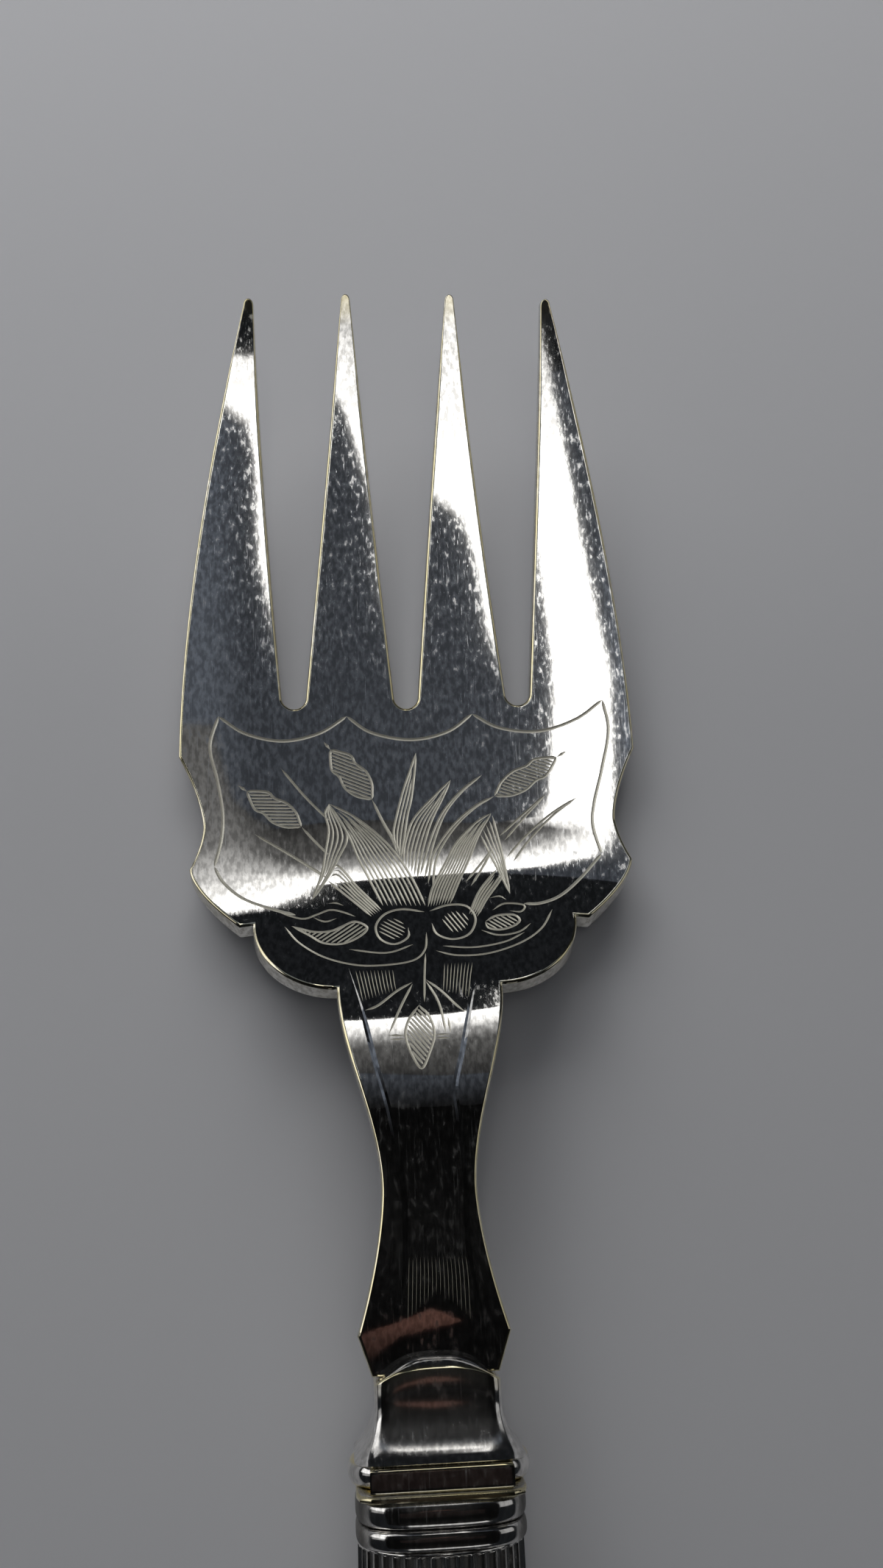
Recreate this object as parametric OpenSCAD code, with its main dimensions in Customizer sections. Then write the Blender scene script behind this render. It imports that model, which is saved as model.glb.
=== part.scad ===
// Serving fork with a dished four-tine head, a waisted shank and a fluted hollow handle.
// It lies face up on a table: tines towards +Y, handle towards -Y, +Z up, millimetres.
// The origin is under the middle of the fork, on the table.
// Places along the head are distances from the bowl's lowest line, measured along the bent plate.

/* [Plate of the head] */
// Thickness of the plate in the bowl and the shank
plate_t = 2.4; // [1.8:0.1:3.2]
// Thickness of the plate at the tine tips
tip_t = 1.6; // [1.2:0.1:2.4]
// Rise of the bowl's rim above its middle
dish_depth = 3; // [1:0.5:5]
// Distance behind the lowest line at which the dish has faded out
dish_fade = 40; // [30:1:48]

/* [Tines] */
// Distance from the lowest line to the inner tips
inner_reach = 64.2; // [56:0.1:74]
// Distance that the outer tips fall short of the inner tips
outer_setback = 0.7; // [0:0.1:4]
// Distance from the fork's middle to an inner tip
inner_tip_x = 6.5; // [5.5:0.1:8]
// Distance from the fork's middle to an outer tip
outer_tip_x = 18.4; // [17.8:0.1:21]
// Half width of a tip before it is rounded
tip_half_w = 0.5; // [0.4:0.05:0.9]
// Length over which a tip is rounded
tip_round = 0.8; // [0.4:0.1:1.5]
// Distance from the lowest line to the roots of the slots
slot_root = 12; // [9:0.5:16]
// Distance from the middle slot to an outer slot at the roots
slot_pitch = 14; // [12.5:0.1:15]
// Radius of the rounded slot roots
slot_root_r = 1.5; // [1:0.1:2]
// How the outer edge sweeps in to the tip, 1 is straight
tine_sweep = 1.75; // [1.2:0.05:2.5]
// How the outer slot bows out from its root, 1 is straight
slot_bow = 1.6; // [1:0.1:2.2]

/* [Bowl outline] */
// Half width of the bowl at its widest
bowl_half_w = 27.9; // [24:0.1:34]
// Distance ahead of the lowest line to the widest place
bowl_wide_at = 5.5; // [3:0.5:8]
// Half width at the waist below the bowl
waist_half_w = 25; // [21:0.1:30]
// Distance behind the lowest line to the waist
waist_at = 3.6; // [2:0.1:5]
// Half width at the wing corners
wing_half_w = 26.5; // [22:0.1:32]
// Distance behind the lowest line to the wing corners
wing_at = 9.4; // [7:0.1:11]
// Half width at the foot of a wing
wing_foot_half_w = 20.6; // [19.5:0.1:22]
// Distance behind the lowest line to the foot of a wing
wing_foot_at = 16.9; // [14:0.1:18]
// Half width at the notch between wing and lobe
notch_half_w = 19; // [16:0.1:19.4]
// Length of the notch along the plate
notch_len = 0.2; // [0.1:0.1:1]
// Distance behind the lowest line to the foot of the lobes
lobe_foot_at = 25.9; // [22:0.1:28]

/* [Shank outline] */
// Half width of the shank below the lobes
shank_top_half_w = 9.4; // [7:0.1:12]
// Half width of the shank at its narrowest
shank_waist_half_w = 5.1; // [4:0.1:7]
// Distance behind the lowest line to the narrowest place
shank_waist_at = 48.5; // [42:0.5:54]
// Half width over the ears
ear_half_w = 8; // [6.5:0.1:10]
// Distance behind the lowest line to the ears
ear_at = 63; // [60:0.5:64]
// Half width of the shank where it meets the bolster
neck_half_w = 6.6; // [5.5:0.1:8]
// Distance behind the lowest line to the bolster
neck_at = 67; // [66:0.5:72]
// Half width of the tongue that enters the bolster
tongue_half_w = 4.5; // [3.5:0.1:5]
// Length of the tongue inside the bolster
tongue_len = 3; // [2:0.1:4]

/* [Bends of the plate] */
// Slope of the tines at their tips, degrees
tine_curl = 27; // [15:1:35]
// Length of the bend at the back of the bowl
heel_len = 20; // [16:1:26]
// Turn of the bend at the back of the bowl, degrees
heel_turn = 33; // [24:1:42]
// Length of the bend at the top of the shoulder
shoulder_len = 20; // [14:1:24]
// Turn of the bend at the top of the shoulder, degrees
shoulder_turn = 27; // [18:1:34]
// Distance behind the lowest line from which the shank runs straight
shank_straight_at = 62; // [56:1:64]

/* [Bolster] */
// Half width of the bolster behind its nose
bolster_half_w = 6.45; // [5.5:0.05:8]
// Half depth of the bolster behind its nose
bolster_half_d = 4.5; // [3.5:0.1:5.5]
// Length of the bolster from neck to collar
bolster_len = 7.4; // [6:0.1:12]
// Distance behind the neck at which the flare starts
flare_at = 2.2; // [1.5:0.1:4]
// Distance that the arched nose reaches over the shank
nose_arch = 2; // [1:0.1:3]
// Size of the rounded edge round the nose
nose_round = 0.9; // [0.3:0.1:1.2]
// Half width of the flare where it meets the collar
flare_half_w = 8.6; // [8:0.1:11]
// Half depth of the flare where it meets the collar
flare_half_d = 6.5; // [5.5:0.1:8]

/* [Collar and neck rings] */
// Length of the collar along the handle
collar_len = 3.2; // [2:0.1:6]
// Half width over the collar's rounded sides
collar_half_w = 9.3; // [9:0.1:12]
// Half width of the collar's two flat panels
panel_half_w = 7.1; // [6:0.1:8]
// Half depth over the collar's two flat panels
collar_half_d = 6.7; // [6:0.1:8.5]
// Half depth of the rounded bosses beside the panels
boss_half_d = 5.6; // [4.5:0.1:6]
// Bulge of the collar's bosses
collar_bulge = 0.8; // [0.3:0.1:1.5]
// Length of the narrow fillet behind the collar's panels
collar_fillet_len = 0.7; // [0.3:0.1:1.2]
// Step from the panels down to the fillet
collar_fillet_step = 0.3; // [0.1:0.1:0.6]
// Length of the upper ring along the handle
upper_ring_len = 2.5; // [1.5:0.1:4]
// Length of the lower ring along the handle
lower_ring_len = 2; // [1.5:0.1:4]
// Half width over a neck ring
ring_half_w = 8.6; // [8.3:0.1:11]
// Half depth over a neck ring
ring_half_d = 6.8; // [6.5:0.1:9]
// Height of a ring's round above its foot
ring_round = 0.8; // [0.3:0.1:1.2]

/* [Handle] */
// Length of the fluted shaft
shaft_len = 86; // [60:1:110]
// Half width of the shaft at the neck rings
shaft_half_w = 8.4; // [7.5:0.1:10]
// Half depth of the shaft at the neck rings
shaft_half_d = 6.5; // [5.5:0.1:8]
// Growth of the shaft from the neck to the butt
shaft_growth = 1.1; // [1:0.01:1.2]
// Number of flutes round the shaft
flutes = 40; // [24:4:48]
// Depth of a flute
flute_depth = 0.3; // [0.1:0.05:0.4]
// Thickness of the handle's sheet at the ridges
shell_t = 0.8; // [0.6:0.1:1.4]
// Length of the butt ring along the handle
butt_ring_len = 2.6; // [1.5:0.1:4]
// Distance that the butt ring stands proud of the shaft
butt_ring_proud = 0.6; // [0.2:0.1:1.5]
// Height of the butt ring's round above its foot
butt_ring_round = 0.9; // [0.5:0.1:1.2]
// Length of the domed cap behind the butt ring
cap_len = 6; // [3:0.1:10]
// Distance that the cap's foot is set in from the butt ring
cap_inset = 0.7; // [0.3:0.1:1.5]
// Length of the cap's spigot inside the butt ring
spigot_len = 2; // [1:0.1:2.4]

/* [Tang] */
// Length of the tang from the tongue into the handle
tang_len = 62; // [40:1:75]
// Width of the tang at the tongue
tang_w = 6; // [4:0.1:7]
// Size of the tang's end against its root
tang_taper = 0.6; // [0.4:0.05:1]

/* [Fits] */
// Solder gap between faces that meet
solder_gap = 0.05; // [0.02:0.01:0.1]
// Clearance round the tongue and the tang in their slots
slot_gap = 0.1; // [0.05:0.01:0.2]

/* [Hidden] */

silver = [0.80, 0.80, 0.79];
silver_shade = [0.70, 0.70, 0.70];
tang_metal = [0.55, 0.54, 0.50];
filler_resin = [0.25, 0.18, 0.12];

// Exponents that shape the plain stretches of the outline
waist_curve = 1.6;
wing_curve = 1.6;
ear_curve = 1.6;

// Share of the nose's arch that is left where the flare starts, and how far the flare turns on its ellipse
arch_left = 0.8;
flare_bend = 0.7;

// How full a flute is, 1 is a V
flute_power = 2.5;

// Overshoot of a cut beyond the face that it opens, and the least step between two sections
overshoot = 1;
hair = 0.001;

// Squareness of the oval sections, 2 is an ellipse
nose_square = 10;
flare_square = 6;
boss_square = 2.6;
shaft_square = 2;

// Cells across one tine's strip of the plate, points round an oval section and across a flute
strip_cells = 4;
oval_points = 40;
flute_points = 6;

// Sections along a rounded nose, a flare, a half-round moulding and the cap's dome, which ends in a flat
nose_rows = 3;
flare_rows = 6;
round_rows = 6;
dome_rows = 7;
dome_end = 84;

function mix(a, b, t) = a + (b - a) * t;
function ease(t) = t * t * (3 - 2 * t);
function limit(t) = min(1, max(0, t));

// Places along the handle, measured from the neck
collar_at = bolster_len + solder_gap;
upper_ring_at = collar_at + collar_len + solder_gap;
lower_ring_at = upper_ring_at + upper_ring_len + solder_gap;
shaft_at = lower_ring_at + lower_ring_len + solder_gap;
butt_ring_at = shaft_at + shaft_len + solder_gap;
cap_at = butt_ring_at + butt_ring_len + solder_gap;
handle_end = cap_at + cap_len;
butt_half_w = shaft_half_w * shaft_growth + butt_ring_proud;
butt_half_d = shaft_half_d * shaft_growth + butt_ring_proud;

// One arc of the bent plate: start is [y, z, slope], way is 1 towards the tips and -1 towards the handle
function chord(len, turn) = abs(turn) < 0.001 ? len : len * sin(turn / 2) / (turn / 2 * PI / 180);
function arc(start, len, turn, way) =
    let (c = way * chord(len, turn), mid = start[2] + turn / 2)
    [start[0] + c * cos(mid), start[1] + c * sin(mid), start[2] + turn];

// Top face of the plate along the fork's middle: [y, z, slope] at s, for a handle that falls by an angle
heel_end = arc([0, plate_t, 0], heel_len, -heel_turn, -1);
shoulder_end = arc(heel_end, shoulder_len, shoulder_turn, -1);
shank_from = heel_len + shoulder_len;
function shank_bend(s, fall) =
    let (len = shank_straight_at - shank_from, turn = fall + heel_turn - shoulder_turn)
    arc(shoulder_end, min(-s - shank_from, len), turn * min(1, (-s - shank_from) / len), -1);
function spine(s, fall) =
    s >= 0 ? arc([0, plate_t, 0], s, tine_curl * s / inner_reach, 1) :
    s >= -heel_len ? arc([0, plate_t, 0], -s, heel_turn * s / heel_len, -1) :
    s >= -shank_from ? arc(heel_end, -s - heel_len, shoulder_turn * (-s - heel_len) / shoulder_len, -1) :
    s >= -shank_straight_at ? shank_bend(s, fall) :
    arc(shank_bend(-shank_straight_at, fall), -s - shank_straight_at, 0, -1);

// The handle falls by the angle at which the butt ring just touches the table
function neck_z(fall) = spine(-neck_at, fall)[1] - plate_t / 2 * cos(fall);
function touching_fall(height) =
    let (along = butt_ring_at + butt_ring_len / 2)
    asin(height / norm([along, butt_half_d])) - atan2(butt_half_d, along);
function settled_fall(fall, rounds) =
    rounds == 0 ? fall : settled_fall(touching_fall(neck_z(fall)), rounds - 1);
first_fall = 3;
settling_rounds = 8;
handle_fall = settled_fall(first_fall, settling_rounds);

// A point of the plate: x across, s along, depth under the top face
function dish(x, s) = dish_depth * (s >= 0 ? 1 : ease(limit(1 + s / dish_fade))) * pow(x / bowl_half_w, 2);
function plate_thickness(s) =
    mix(plate_t, tip_t, limit((s - slot_root) / (inner_reach - slot_root)));
function plate_point(x, s, depth) =
    let (p = spine(s, handle_fall), lift = dish(x, s) - depth)
    [x, p[0] - lift * sin(p[2]), p[1] + lift * cos(p[2])];

// The whole fork slides along Y so that the origin is under its middle
neck = spine(-neck_at, handle_fall);
neck_y = neck[0] + plate_t / 2 * sin(handle_fall);
tip_y = plate_point(inner_tip_x, inner_reach, tip_t)[1];
butt_y = neck_y - handle_end * cos(handle_fall);
slide_y = -(tip_y + butt_y) / 2;

// Edges of a tine, as distances from the fork's middle. The near edge faces the middle slot.
outer_reach = inner_reach - outer_setback;
slot_end = slot_root + slot_root_r;
function root_half(s) =
    s >= slot_end ? slot_root_r : sqrt(max(0, pow(slot_root_r, 2) - pow(slot_end - s, 2)));
function reach(outer) = outer ? outer_reach : inner_reach;
function tine_part(outer, s) = limit((s - slot_end) / (reach(outer) - slot_end));
function bowl_edge(s) =
    let (part = (s - bowl_wide_at) / (outer_reach - bowl_wide_at))
    mix(bowl_half_w, outer_tip_x + tip_half_w, pow(limit(part), tine_sweep));
function near_edge(outer, s) =
    let (part = tine_part(outer, s))
    outer
    ? slot_pitch + mix(root_half(s), outer_tip_x - tip_half_w - slot_pitch, 1 - pow(1 - part, slot_bow))
    : mix(root_half(s), inner_tip_x - tip_half_w, part);
function far_edge(outer, s) =
    outer ? bowl_edge(s)
    : slot_pitch - mix(root_half(s), slot_pitch - inner_tip_x - tip_half_w, tine_part(outer, s));

// Rows of a tine from its tip to the slot root: [s, near edge, far edge]
tip_rows = 3;
shaft_rows = 11;
root_rows = 4;
blunt_rows = 0.35;
function tip_width(i) = sqrt(1 - pow(1 - (i + blunt_rows) / (tip_rows + blunt_rows), 2));
function tine_row(outer, s, width) =
    let (near = near_edge(outer, s), far = far_edge(outer, s), mid = (near + far) / 2)
    [s, mix(mid, near, width), mix(mid, far, width)];
function tine_rows(outer) = concat(
    [for (i = [0 : tip_rows - 1]) tine_row(outer, reach(outer) - tip_round * i / tip_rows, tip_width(i))],
    [for (i = [0 : shaft_rows - 1])
        tine_row(outer, mix(reach(outer) - tip_round, slot_end, i / shaft_rows), 1)],
    [for (i = [0 : root_rows]) tine_row(outer, slot_end - slot_root_r * sin(90 * i / root_rows), 1)]
);

// Half width of the plate behind the slot roots: [s, half width], from the bowl back to the tongue
notch_at = wing_foot_at + notch_len;
widest = [bowl_wide_at, bowl_half_w];
waist = [-waist_at, waist_half_w];
wing = [-wing_at, wing_half_w];
wing_foot = [-wing_foot_at, wing_foot_half_w];
lobe_foot = [-lobe_foot_at, shank_top_half_w];
shank_waist = [-shank_waist_at, shank_waist_half_w];
ear = [-ear_at, ear_half_w];
lobe_rows = 8;
function edge_rows(from, to, count, shape) = [
    for (i = [1 : count]) let (t = i / count) [mix(from[0], to[0], t), mix(from[1], to[1], shape(t))]
];
body_rows = concat(
    [for (t = [0.5, 1]) [mix(slot_root, bowl_wide_at, t), bowl_edge(mix(slot_root, bowl_wide_at, t))]],
    edge_rows(widest, waist, 5, function (t) 1 - pow(1 - t, waist_curve)),
    edge_rows(waist, wing, 4, function (t) pow(t, waist_curve)),
    edge_rows(wing, wing_foot, 5, function (t) pow(t, wing_curve)),
    [for (i = [0 : lobe_rows]) let (a = 90 * i / lobe_rows)
        [-mix(notch_at, lobe_foot_at, sin(a)), mix(shank_top_half_w, notch_half_w, cos(a))]],
    edge_rows(lobe_foot, shank_waist, 9, function (t) ease(t)),
    edge_rows(shank_waist, ear, 6, function (t) pow(t, ear_curve)),
    [[-neck_at, neck_half_w]],
    [for (back = [solder_gap, tongue_len]) [-neck_at - back, tongue_half_w]]
);
slot_share = slot_pitch / bowl_edge(slot_root);
function strip_rows(outer) = concat(
    tine_rows(outer),
    [for (r = body_rows) [r[0], (outer ? slot_share : 0) * r[1], (outer ? 1 : slot_share) * r[1]]]
);

// The plate has four strips, one through each tine, from left to right
strips = [
    for (strip = [[true, -1], [false, -1], [false, 1], [true, 1]])
    [for (r = strip_rows(strip[0])) strip[1] < 0 ? [r[0], -r[2], -r[1]] : r]
];
rows = len(strips[0]);
tine_row_count = tip_rows + shaft_rows + root_rows + 1;
function at(strip, row, cell, under) = ((strip * rows + row) * (strip_cells + 1) + cell) * 2 + under;
function two(a, b, c, d) = [[a, b, c], [a, c, d]];

plate_points = [
    for (strip = strips, r = strip, cell = [0 : strip_cells], under = [0, 1])
    plate_point(mix(r[1], r[2], cell / strip_cells), r[0], under * plate_thickness(r[0]))
];
face_cells = [
    for (j = [0 : 3], i = [0 : rows - 2], k = [0 : strip_cells - 1])
    each concat(
        two(at(j, i, k, 0), at(j, i, k + 1, 0), at(j, i + 1, k + 1, 0), at(j, i + 1, k, 0)),
        two(at(j, i, k, 1), at(j, i + 1, k, 1), at(j, i + 1, k + 1, 1), at(j, i, k + 1, 1))
    )
];
left_walls = [
    for (j = [0 : 3], i = [0 : rows - 2]) if (j == 0 || i < tine_row_count - 1)
    each two(at(j, i, 0, 0), at(j, i + 1, 0, 0), at(j, i + 1, 0, 1), at(j, i, 0, 1))
];
right_walls = [
    for (j = [0 : 3], i = [0 : rows - 2], k = [strip_cells]) if (j == 3 || i < tine_row_count - 1)
    each two(at(j, i + 1, k, 0), at(j, i, k, 0), at(j, i, k, 1), at(j, i + 1, k, 1))
];
end_walls = [
    for (j = [0 : 3], k = [0 : strip_cells - 1]) let (e = rows - 1)
    each concat(
        two(at(j, 0, k + 1, 0), at(j, 0, k, 0), at(j, 0, k, 1), at(j, 0, k + 1, 1)),
        two(at(j, e, k, 0), at(j, e, k + 1, 0), at(j, e, k + 1, 1), at(j, e, k, 1))
    )
];

// Handle pieces are drawn along +Z from the neck, with +Y to the fork's face, and then laid in place
module laid_along_handle() {
    translate([0, neck_y + slide_y, neck_z(handle_fall)]) rotate([90 + handle_fall, 0, 0]) children();
}

// An oval section with a chosen squareness
function signed_pow(v, p) = sign(v) * pow(abs(v), p);
function oval(half_w, half_d, square) = [
    for (i = [0 : oval_points - 1]) let (a = 360 * i / oval_points)
    [half_w * signed_pow(cos(a), 2 / square), half_d * signed_pow(sin(a), 2 / square)]
];

// A solid through oval sections: each is [place, half width, half depth, squareness, arch towards the tines]
module lofted(sections) {
    n = oval_points;
    last = len(sections) - 1;
    points = [
        for (s = sections, p = oval(s[1], s[2], s[3]))
        [p[0], p[1], s[0] - s[4] * (1 - pow(p[0] / s[1], 2))]
    ];
    sides = [
        for (i = [0 : last - 1], k = [0 : n - 1]) let (next = (k + 1) % n)
        each two(i * n + k, (i + 1) * n + k, (i + 1) * n + next, i * n + next)
    ];
    near_end = [for (k = [1 : n - 2]) [0, k, k + 1]];
    far_end = [for (k = [1 : n - 2]) [last * n, last * n + k + 1, last * n + k]];
    polyhedron(points, concat(near_end, sides, far_end), convexity = 4);
}

// Half-round moulding on an oval foot
module round_moulding(from, len, half_w, half_d, round, square) {
    lofted([
        for (i = [0 : round_rows]) let (a = 180 * i / round_rows, rise = round * (sin(a) - 1))
        [from + len * (1 - cos(a)) / 2, half_w + rise, half_d + rise, square, 0]
    ]);
}

// Slot for the tang through a handle piece
module tang_slot(from, to) {
    w = tang_w + 2 * slot_gap;
    t = plate_t + 2 * slot_gap;
    translate([-w / 2, -t / 2, from]) cube([w, t, to - from]);
}

// Curved sides of the handle's sheet, as half sections above the seam
shell_gap = solder_gap / 2;
function flute_cut(part) = flute_depth * (1 - pow(abs(2 * part - 1), flute_power));
function fluted_half() = [
    for (i = [0 : flutes / 2 * flute_points])
    let (a = 360 * i / (flutes * flute_points), cut = flute_cut((i % flute_points) / flute_points))
    [(shaft_half_w - cut) * cos(a), max(shell_gap, (shaft_half_d - cut) * sin(a))]
];
function inner_half(wall, lift) = [
    for (i = [oval_points / 2 : -1 : 0]) let (a = 360 * i / oval_points)
    [(shaft_half_w - wall) * cos(a), max(lift, (shaft_half_d - wall) * sin(a))]
];

module handle_half() {
    translate([0, 0, shaft_at]) linear_extrude(height = shaft_len, scale = shaft_growth)
        polygon(concat(fluted_half(), inner_half(shell_t, shell_gap)));
}

module fork_head() {
    color(silver) translate([0, slide_y, 0])
        polyhedron(plate_points, concat(face_cells, left_walls, right_walls, end_walls), convexity = 8);
}

module tang() {
    color(tang_metal) laid_along_handle() translate([0, 0, tongue_len + solder_gap])
        linear_extrude(height = tang_len, scale = tang_taper) square([tang_w, plate_t], center = true);
}

// Growth of the flare from 0 to 1, as a stretch of an ellipse
function flare_rise(t) = (1 - sqrt(1 - flare_bend * t * t)) / (1 - sqrt(1 - flare_bend));

module bolster() {
    slot_t = plate_t + 2 * slot_gap;
    tongue_slot_w = 2 * (tongue_half_w + slot_gap);
    color(silver) laid_along_handle() difference() {
        lofted(concat(
            [
                for (i = [0 : nose_rows]) let (a = 90 * i / nose_rows, inset = nose_round * (1 - sin(a)))
                [
                    nose_round * (1 - cos(a)),
                    bolster_half_w - inset,
                    bolster_half_d - inset,
                    nose_square,
                    nose_arch
                ]
            ],
            [
                for (i = [0 : flare_rows]) let (t = i / flare_rows)
                [
                    mix(flare_at, bolster_len, t),
                    mix(bolster_half_w, flare_half_w, flare_rise(t)),
                    mix(bolster_half_d, flare_half_d, flare_rise(t)),
                    mix(nose_square, flare_square, t),
                    nose_arch * arch_left * pow(1 - t, 3)
                ]
            ]
        ));
        translate([-2 * ear_half_w, -slot_t / 2, -2 * nose_arch])
            cube([4 * ear_half_w, slot_t, 2 * nose_arch]);
        translate([-tongue_slot_w / 2, -slot_t / 2, -overshoot])
            cube([tongue_slot_w, slot_t, tongue_len + solder_gap + overshoot]);
        tang_slot(tongue_len, bolster_len + overshoot);
    }
}

module plinth_collar() {
    panel_len = collar_len - collar_fillet_len;
    fillet_half_w = collar_half_w - collar_bulge - collar_fillet_step;
    fillet_half_d = collar_half_d - collar_fillet_step;
    color(silver_shade) laid_along_handle() difference() {
        union() {
            round_moulding(collar_at, panel_len, collar_half_w, boss_half_d, collar_bulge, boss_square);
            translate([-panel_half_w, -collar_half_d, collar_at])
                cube([2 * panel_half_w, 2 * collar_half_d, panel_len]);
            lofted([
                for (h = [panel_len / 2, collar_len])
                [collar_at + h, fillet_half_w, fillet_half_d, flare_square, 0]
            ]);
        }
        tang_slot(collar_at - overshoot, collar_at + collar_len + overshoot);
    }
}

module neck_ring_upper() {
    color(silver) laid_along_handle() difference() {
        round_moulding(upper_ring_at, upper_ring_len, ring_half_w, ring_half_d, ring_round, shaft_square);
        tang_slot(upper_ring_at - overshoot, upper_ring_at + upper_ring_len + overshoot);
    }
}

module neck_ring_lower() {
    color(silver_shade) laid_along_handle() difference() {
        round_moulding(lower_ring_at, lower_ring_len, ring_half_w, ring_half_d, ring_round, shaft_square);
        tang_slot(lower_ring_at - overshoot, lower_ring_at + lower_ring_len + overshoot);
    }
}

module handle_front_shell() {
    color(silver) laid_along_handle() handle_half();
}

module handle_back_shell() {
    color(silver_shade) laid_along_handle() mirror([0, 1, 0]) handle_half();
}

module handle_filler() {
    wall = shell_t + solder_gap;
    color(filler_resin) laid_along_handle() difference() {
        translate([0, 0, shaft_at]) linear_extrude(height = shaft_len, scale = shaft_growth)
            polygon(oval(shaft_half_w - wall, shaft_half_d - wall, shaft_square));
        tang_slot(shaft_at - overshoot, tongue_len + 2 * solder_gap + tang_len);
    }
}

module butt_ring() {
    hole_w = butt_half_w - butt_ring_proud - shell_t;
    hole_d = butt_half_d - butt_ring_proud - shell_t;
    color(silver) laid_along_handle() difference() {
        round_moulding(butt_ring_at, butt_ring_len, butt_half_w, butt_half_d, butt_ring_round, shaft_square);
        translate([0, 0, butt_ring_at - overshoot]) linear_extrude(height = butt_ring_len + 2 * overshoot)
            polygon(oval(hole_w, hole_d, shaft_square));
    }
}

module butt_cap() {
    spigot_w = butt_half_w - butt_ring_proud - shell_t - solder_gap;
    spigot_d = butt_half_d - butt_ring_proud - shell_t - solder_gap;
    foot_w = butt_half_w - cap_inset;
    foot_d = butt_half_d - cap_inset;
    color(silver_shade) laid_along_handle() lofted(concat(
        [for (h = [-spigot_len, 0]) [cap_at + h, spigot_w, spigot_d, shaft_square, 0]],
        [
            for (i = [0 : dome_rows]) let (a = dome_end * i / dome_rows)
            [cap_at + cap_len * sin(a) + hair, foot_w * cos(a), foot_d * cos(a), shaft_square, 0]
        ]
    ));
}

fork_head();
tang();
bolster();
plinth_collar();
neck_ring_upper();
neck_ring_lower();
handle_front_shell();
handle_back_shell();
handle_filler();
butt_ring();
butt_cap();
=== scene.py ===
import math

import bpy
import numpy as np
from mathutils import Matrix, Vector
from mathutils.geometry import delaunay_2d_cdt


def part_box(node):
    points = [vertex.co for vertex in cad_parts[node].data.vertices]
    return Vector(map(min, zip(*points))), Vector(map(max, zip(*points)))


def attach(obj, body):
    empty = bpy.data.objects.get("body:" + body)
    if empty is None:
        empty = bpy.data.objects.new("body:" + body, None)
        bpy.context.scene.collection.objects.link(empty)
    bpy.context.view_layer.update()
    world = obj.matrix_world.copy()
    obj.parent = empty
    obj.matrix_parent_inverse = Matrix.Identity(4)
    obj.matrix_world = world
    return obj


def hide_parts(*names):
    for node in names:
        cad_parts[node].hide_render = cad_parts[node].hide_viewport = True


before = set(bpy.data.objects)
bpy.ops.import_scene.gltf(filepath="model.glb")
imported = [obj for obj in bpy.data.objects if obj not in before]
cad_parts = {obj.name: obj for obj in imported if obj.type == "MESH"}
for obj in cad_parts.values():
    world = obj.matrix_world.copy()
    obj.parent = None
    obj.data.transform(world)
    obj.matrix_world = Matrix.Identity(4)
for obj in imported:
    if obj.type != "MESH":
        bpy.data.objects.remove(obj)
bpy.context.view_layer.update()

# Camera
# The view is from close above the bowl. It leans towards the tines, stands a little to the fork's left
# and is slightly rolled, so that the fork leans to the left going up the picture.
camera_place = Vector((-0.0086, 0.0090, 0.1729))
view_axis = Vector((0.0711, 0.2756, -0.9586)).normalized()
view_up = Vector((0.0220, 0.9604, 0.2778))
picture_height = 2132
focal_pixels = 1950
sensor_mm = 36.0

view_right = view_axis.cross(view_up).normalized()
view_turn = Matrix((view_right, view_right.cross(view_axis), -view_axis)).transposed().to_4x4()
camera_data = bpy.data.cameras.new("camera")
camera_data.sensor_width = sensor_mm
camera_data.lens = sensor_mm * focal_pixels / picture_height
camera_data.clip_start = 0.005
camera = bpy.data.objects.new("camera", camera_data)
camera.matrix_world = Matrix.Translation(camera_place) @ view_turn
bpy.context.scene.collection.objects.link(camera)
bpy.context.scene.camera = camera
bpy.context.scene.view_settings.view_transform = "Standard"

# Fork head
# One piece of silver plate: cut to its outline, engraved by hand with a bright-cutting graver, then dished
# and bent into tines, bowl, shoulder and shank. Its narrow tongue is soldered into the bolster.
mm = 0.001
plate_t, tip_t = 2.4, 1.6
dish_depth, dish_fade = 3.0, 40.0
inner_reach, outer_reach = 64.2, 63.5
inner_tip_x, outer_tip_x = 6.5, 18.4
tip_half_w, tip_round = 0.5, 0.8
slot_root, slot_pitch, slot_root_r = 12.0, 14.0, 1.5
tine_sweep, slot_bow = 1.75, 1.6
bowl_half_w, bowl_wide_at = 27.9, 5.5
waist_half_w, waist_at = 25.0, 3.6
wing_half_w, wing_at = 26.5, 9.4
wing_foot_half_w, wing_foot_at = 20.5, 17.1
notch_half_w, notch_at = 19.0, 16.8
lobe_foot_at = 25.9
shank_top_half_w, shank_waist_half_w, shank_waist_at = 9.4, 5.1, 48.5
ear_half_w, ear_at = 8.0, 63.0
neck_half_w, neck_at = 6.6, 67.0
tongue_half_w, tongue_len = 4.5, 3.0
edge_curve = 1.6
tine_curl = 27.0
heel_len, heel_turn = 20.0, 33.0
shoulder_len, shoulder_turn = 20.0, 27.0
shank_straight_at = 62.0
handle_fall = 3.301
solder_gap = 0.05
rim_round, tip_rim_share, tip_rim_at = 0.4, 0.4, 48.0
tip_wear_at = 60.0
# The second number below is the strength of the painted shade on the plate's side wall, which mirrors the
# table in the fork's own shadow.
side_wear, wall_shade_level = 0.2, 0.1
face_spacing, back_spacing, cut_margin, rim_margin = 1.1, 2.0, 0.25, 0.6
sharpest_corner, nudge = 0.6, 0.01
shortest_stroke, fine_depth, least_depth = 0.5, 0.07, 1e-3
batch = 400


def mix(a, b, t):
    """The value a share t of the way from a to b."""
    return a + (b - a) * t


def ease(t):
    """A share that starts and ends gently."""
    return t * t * (3 - 2 * t)


def limit(t):
    """A share kept between 0 and 1."""
    return min(1.0, max(0.0, t))


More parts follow.
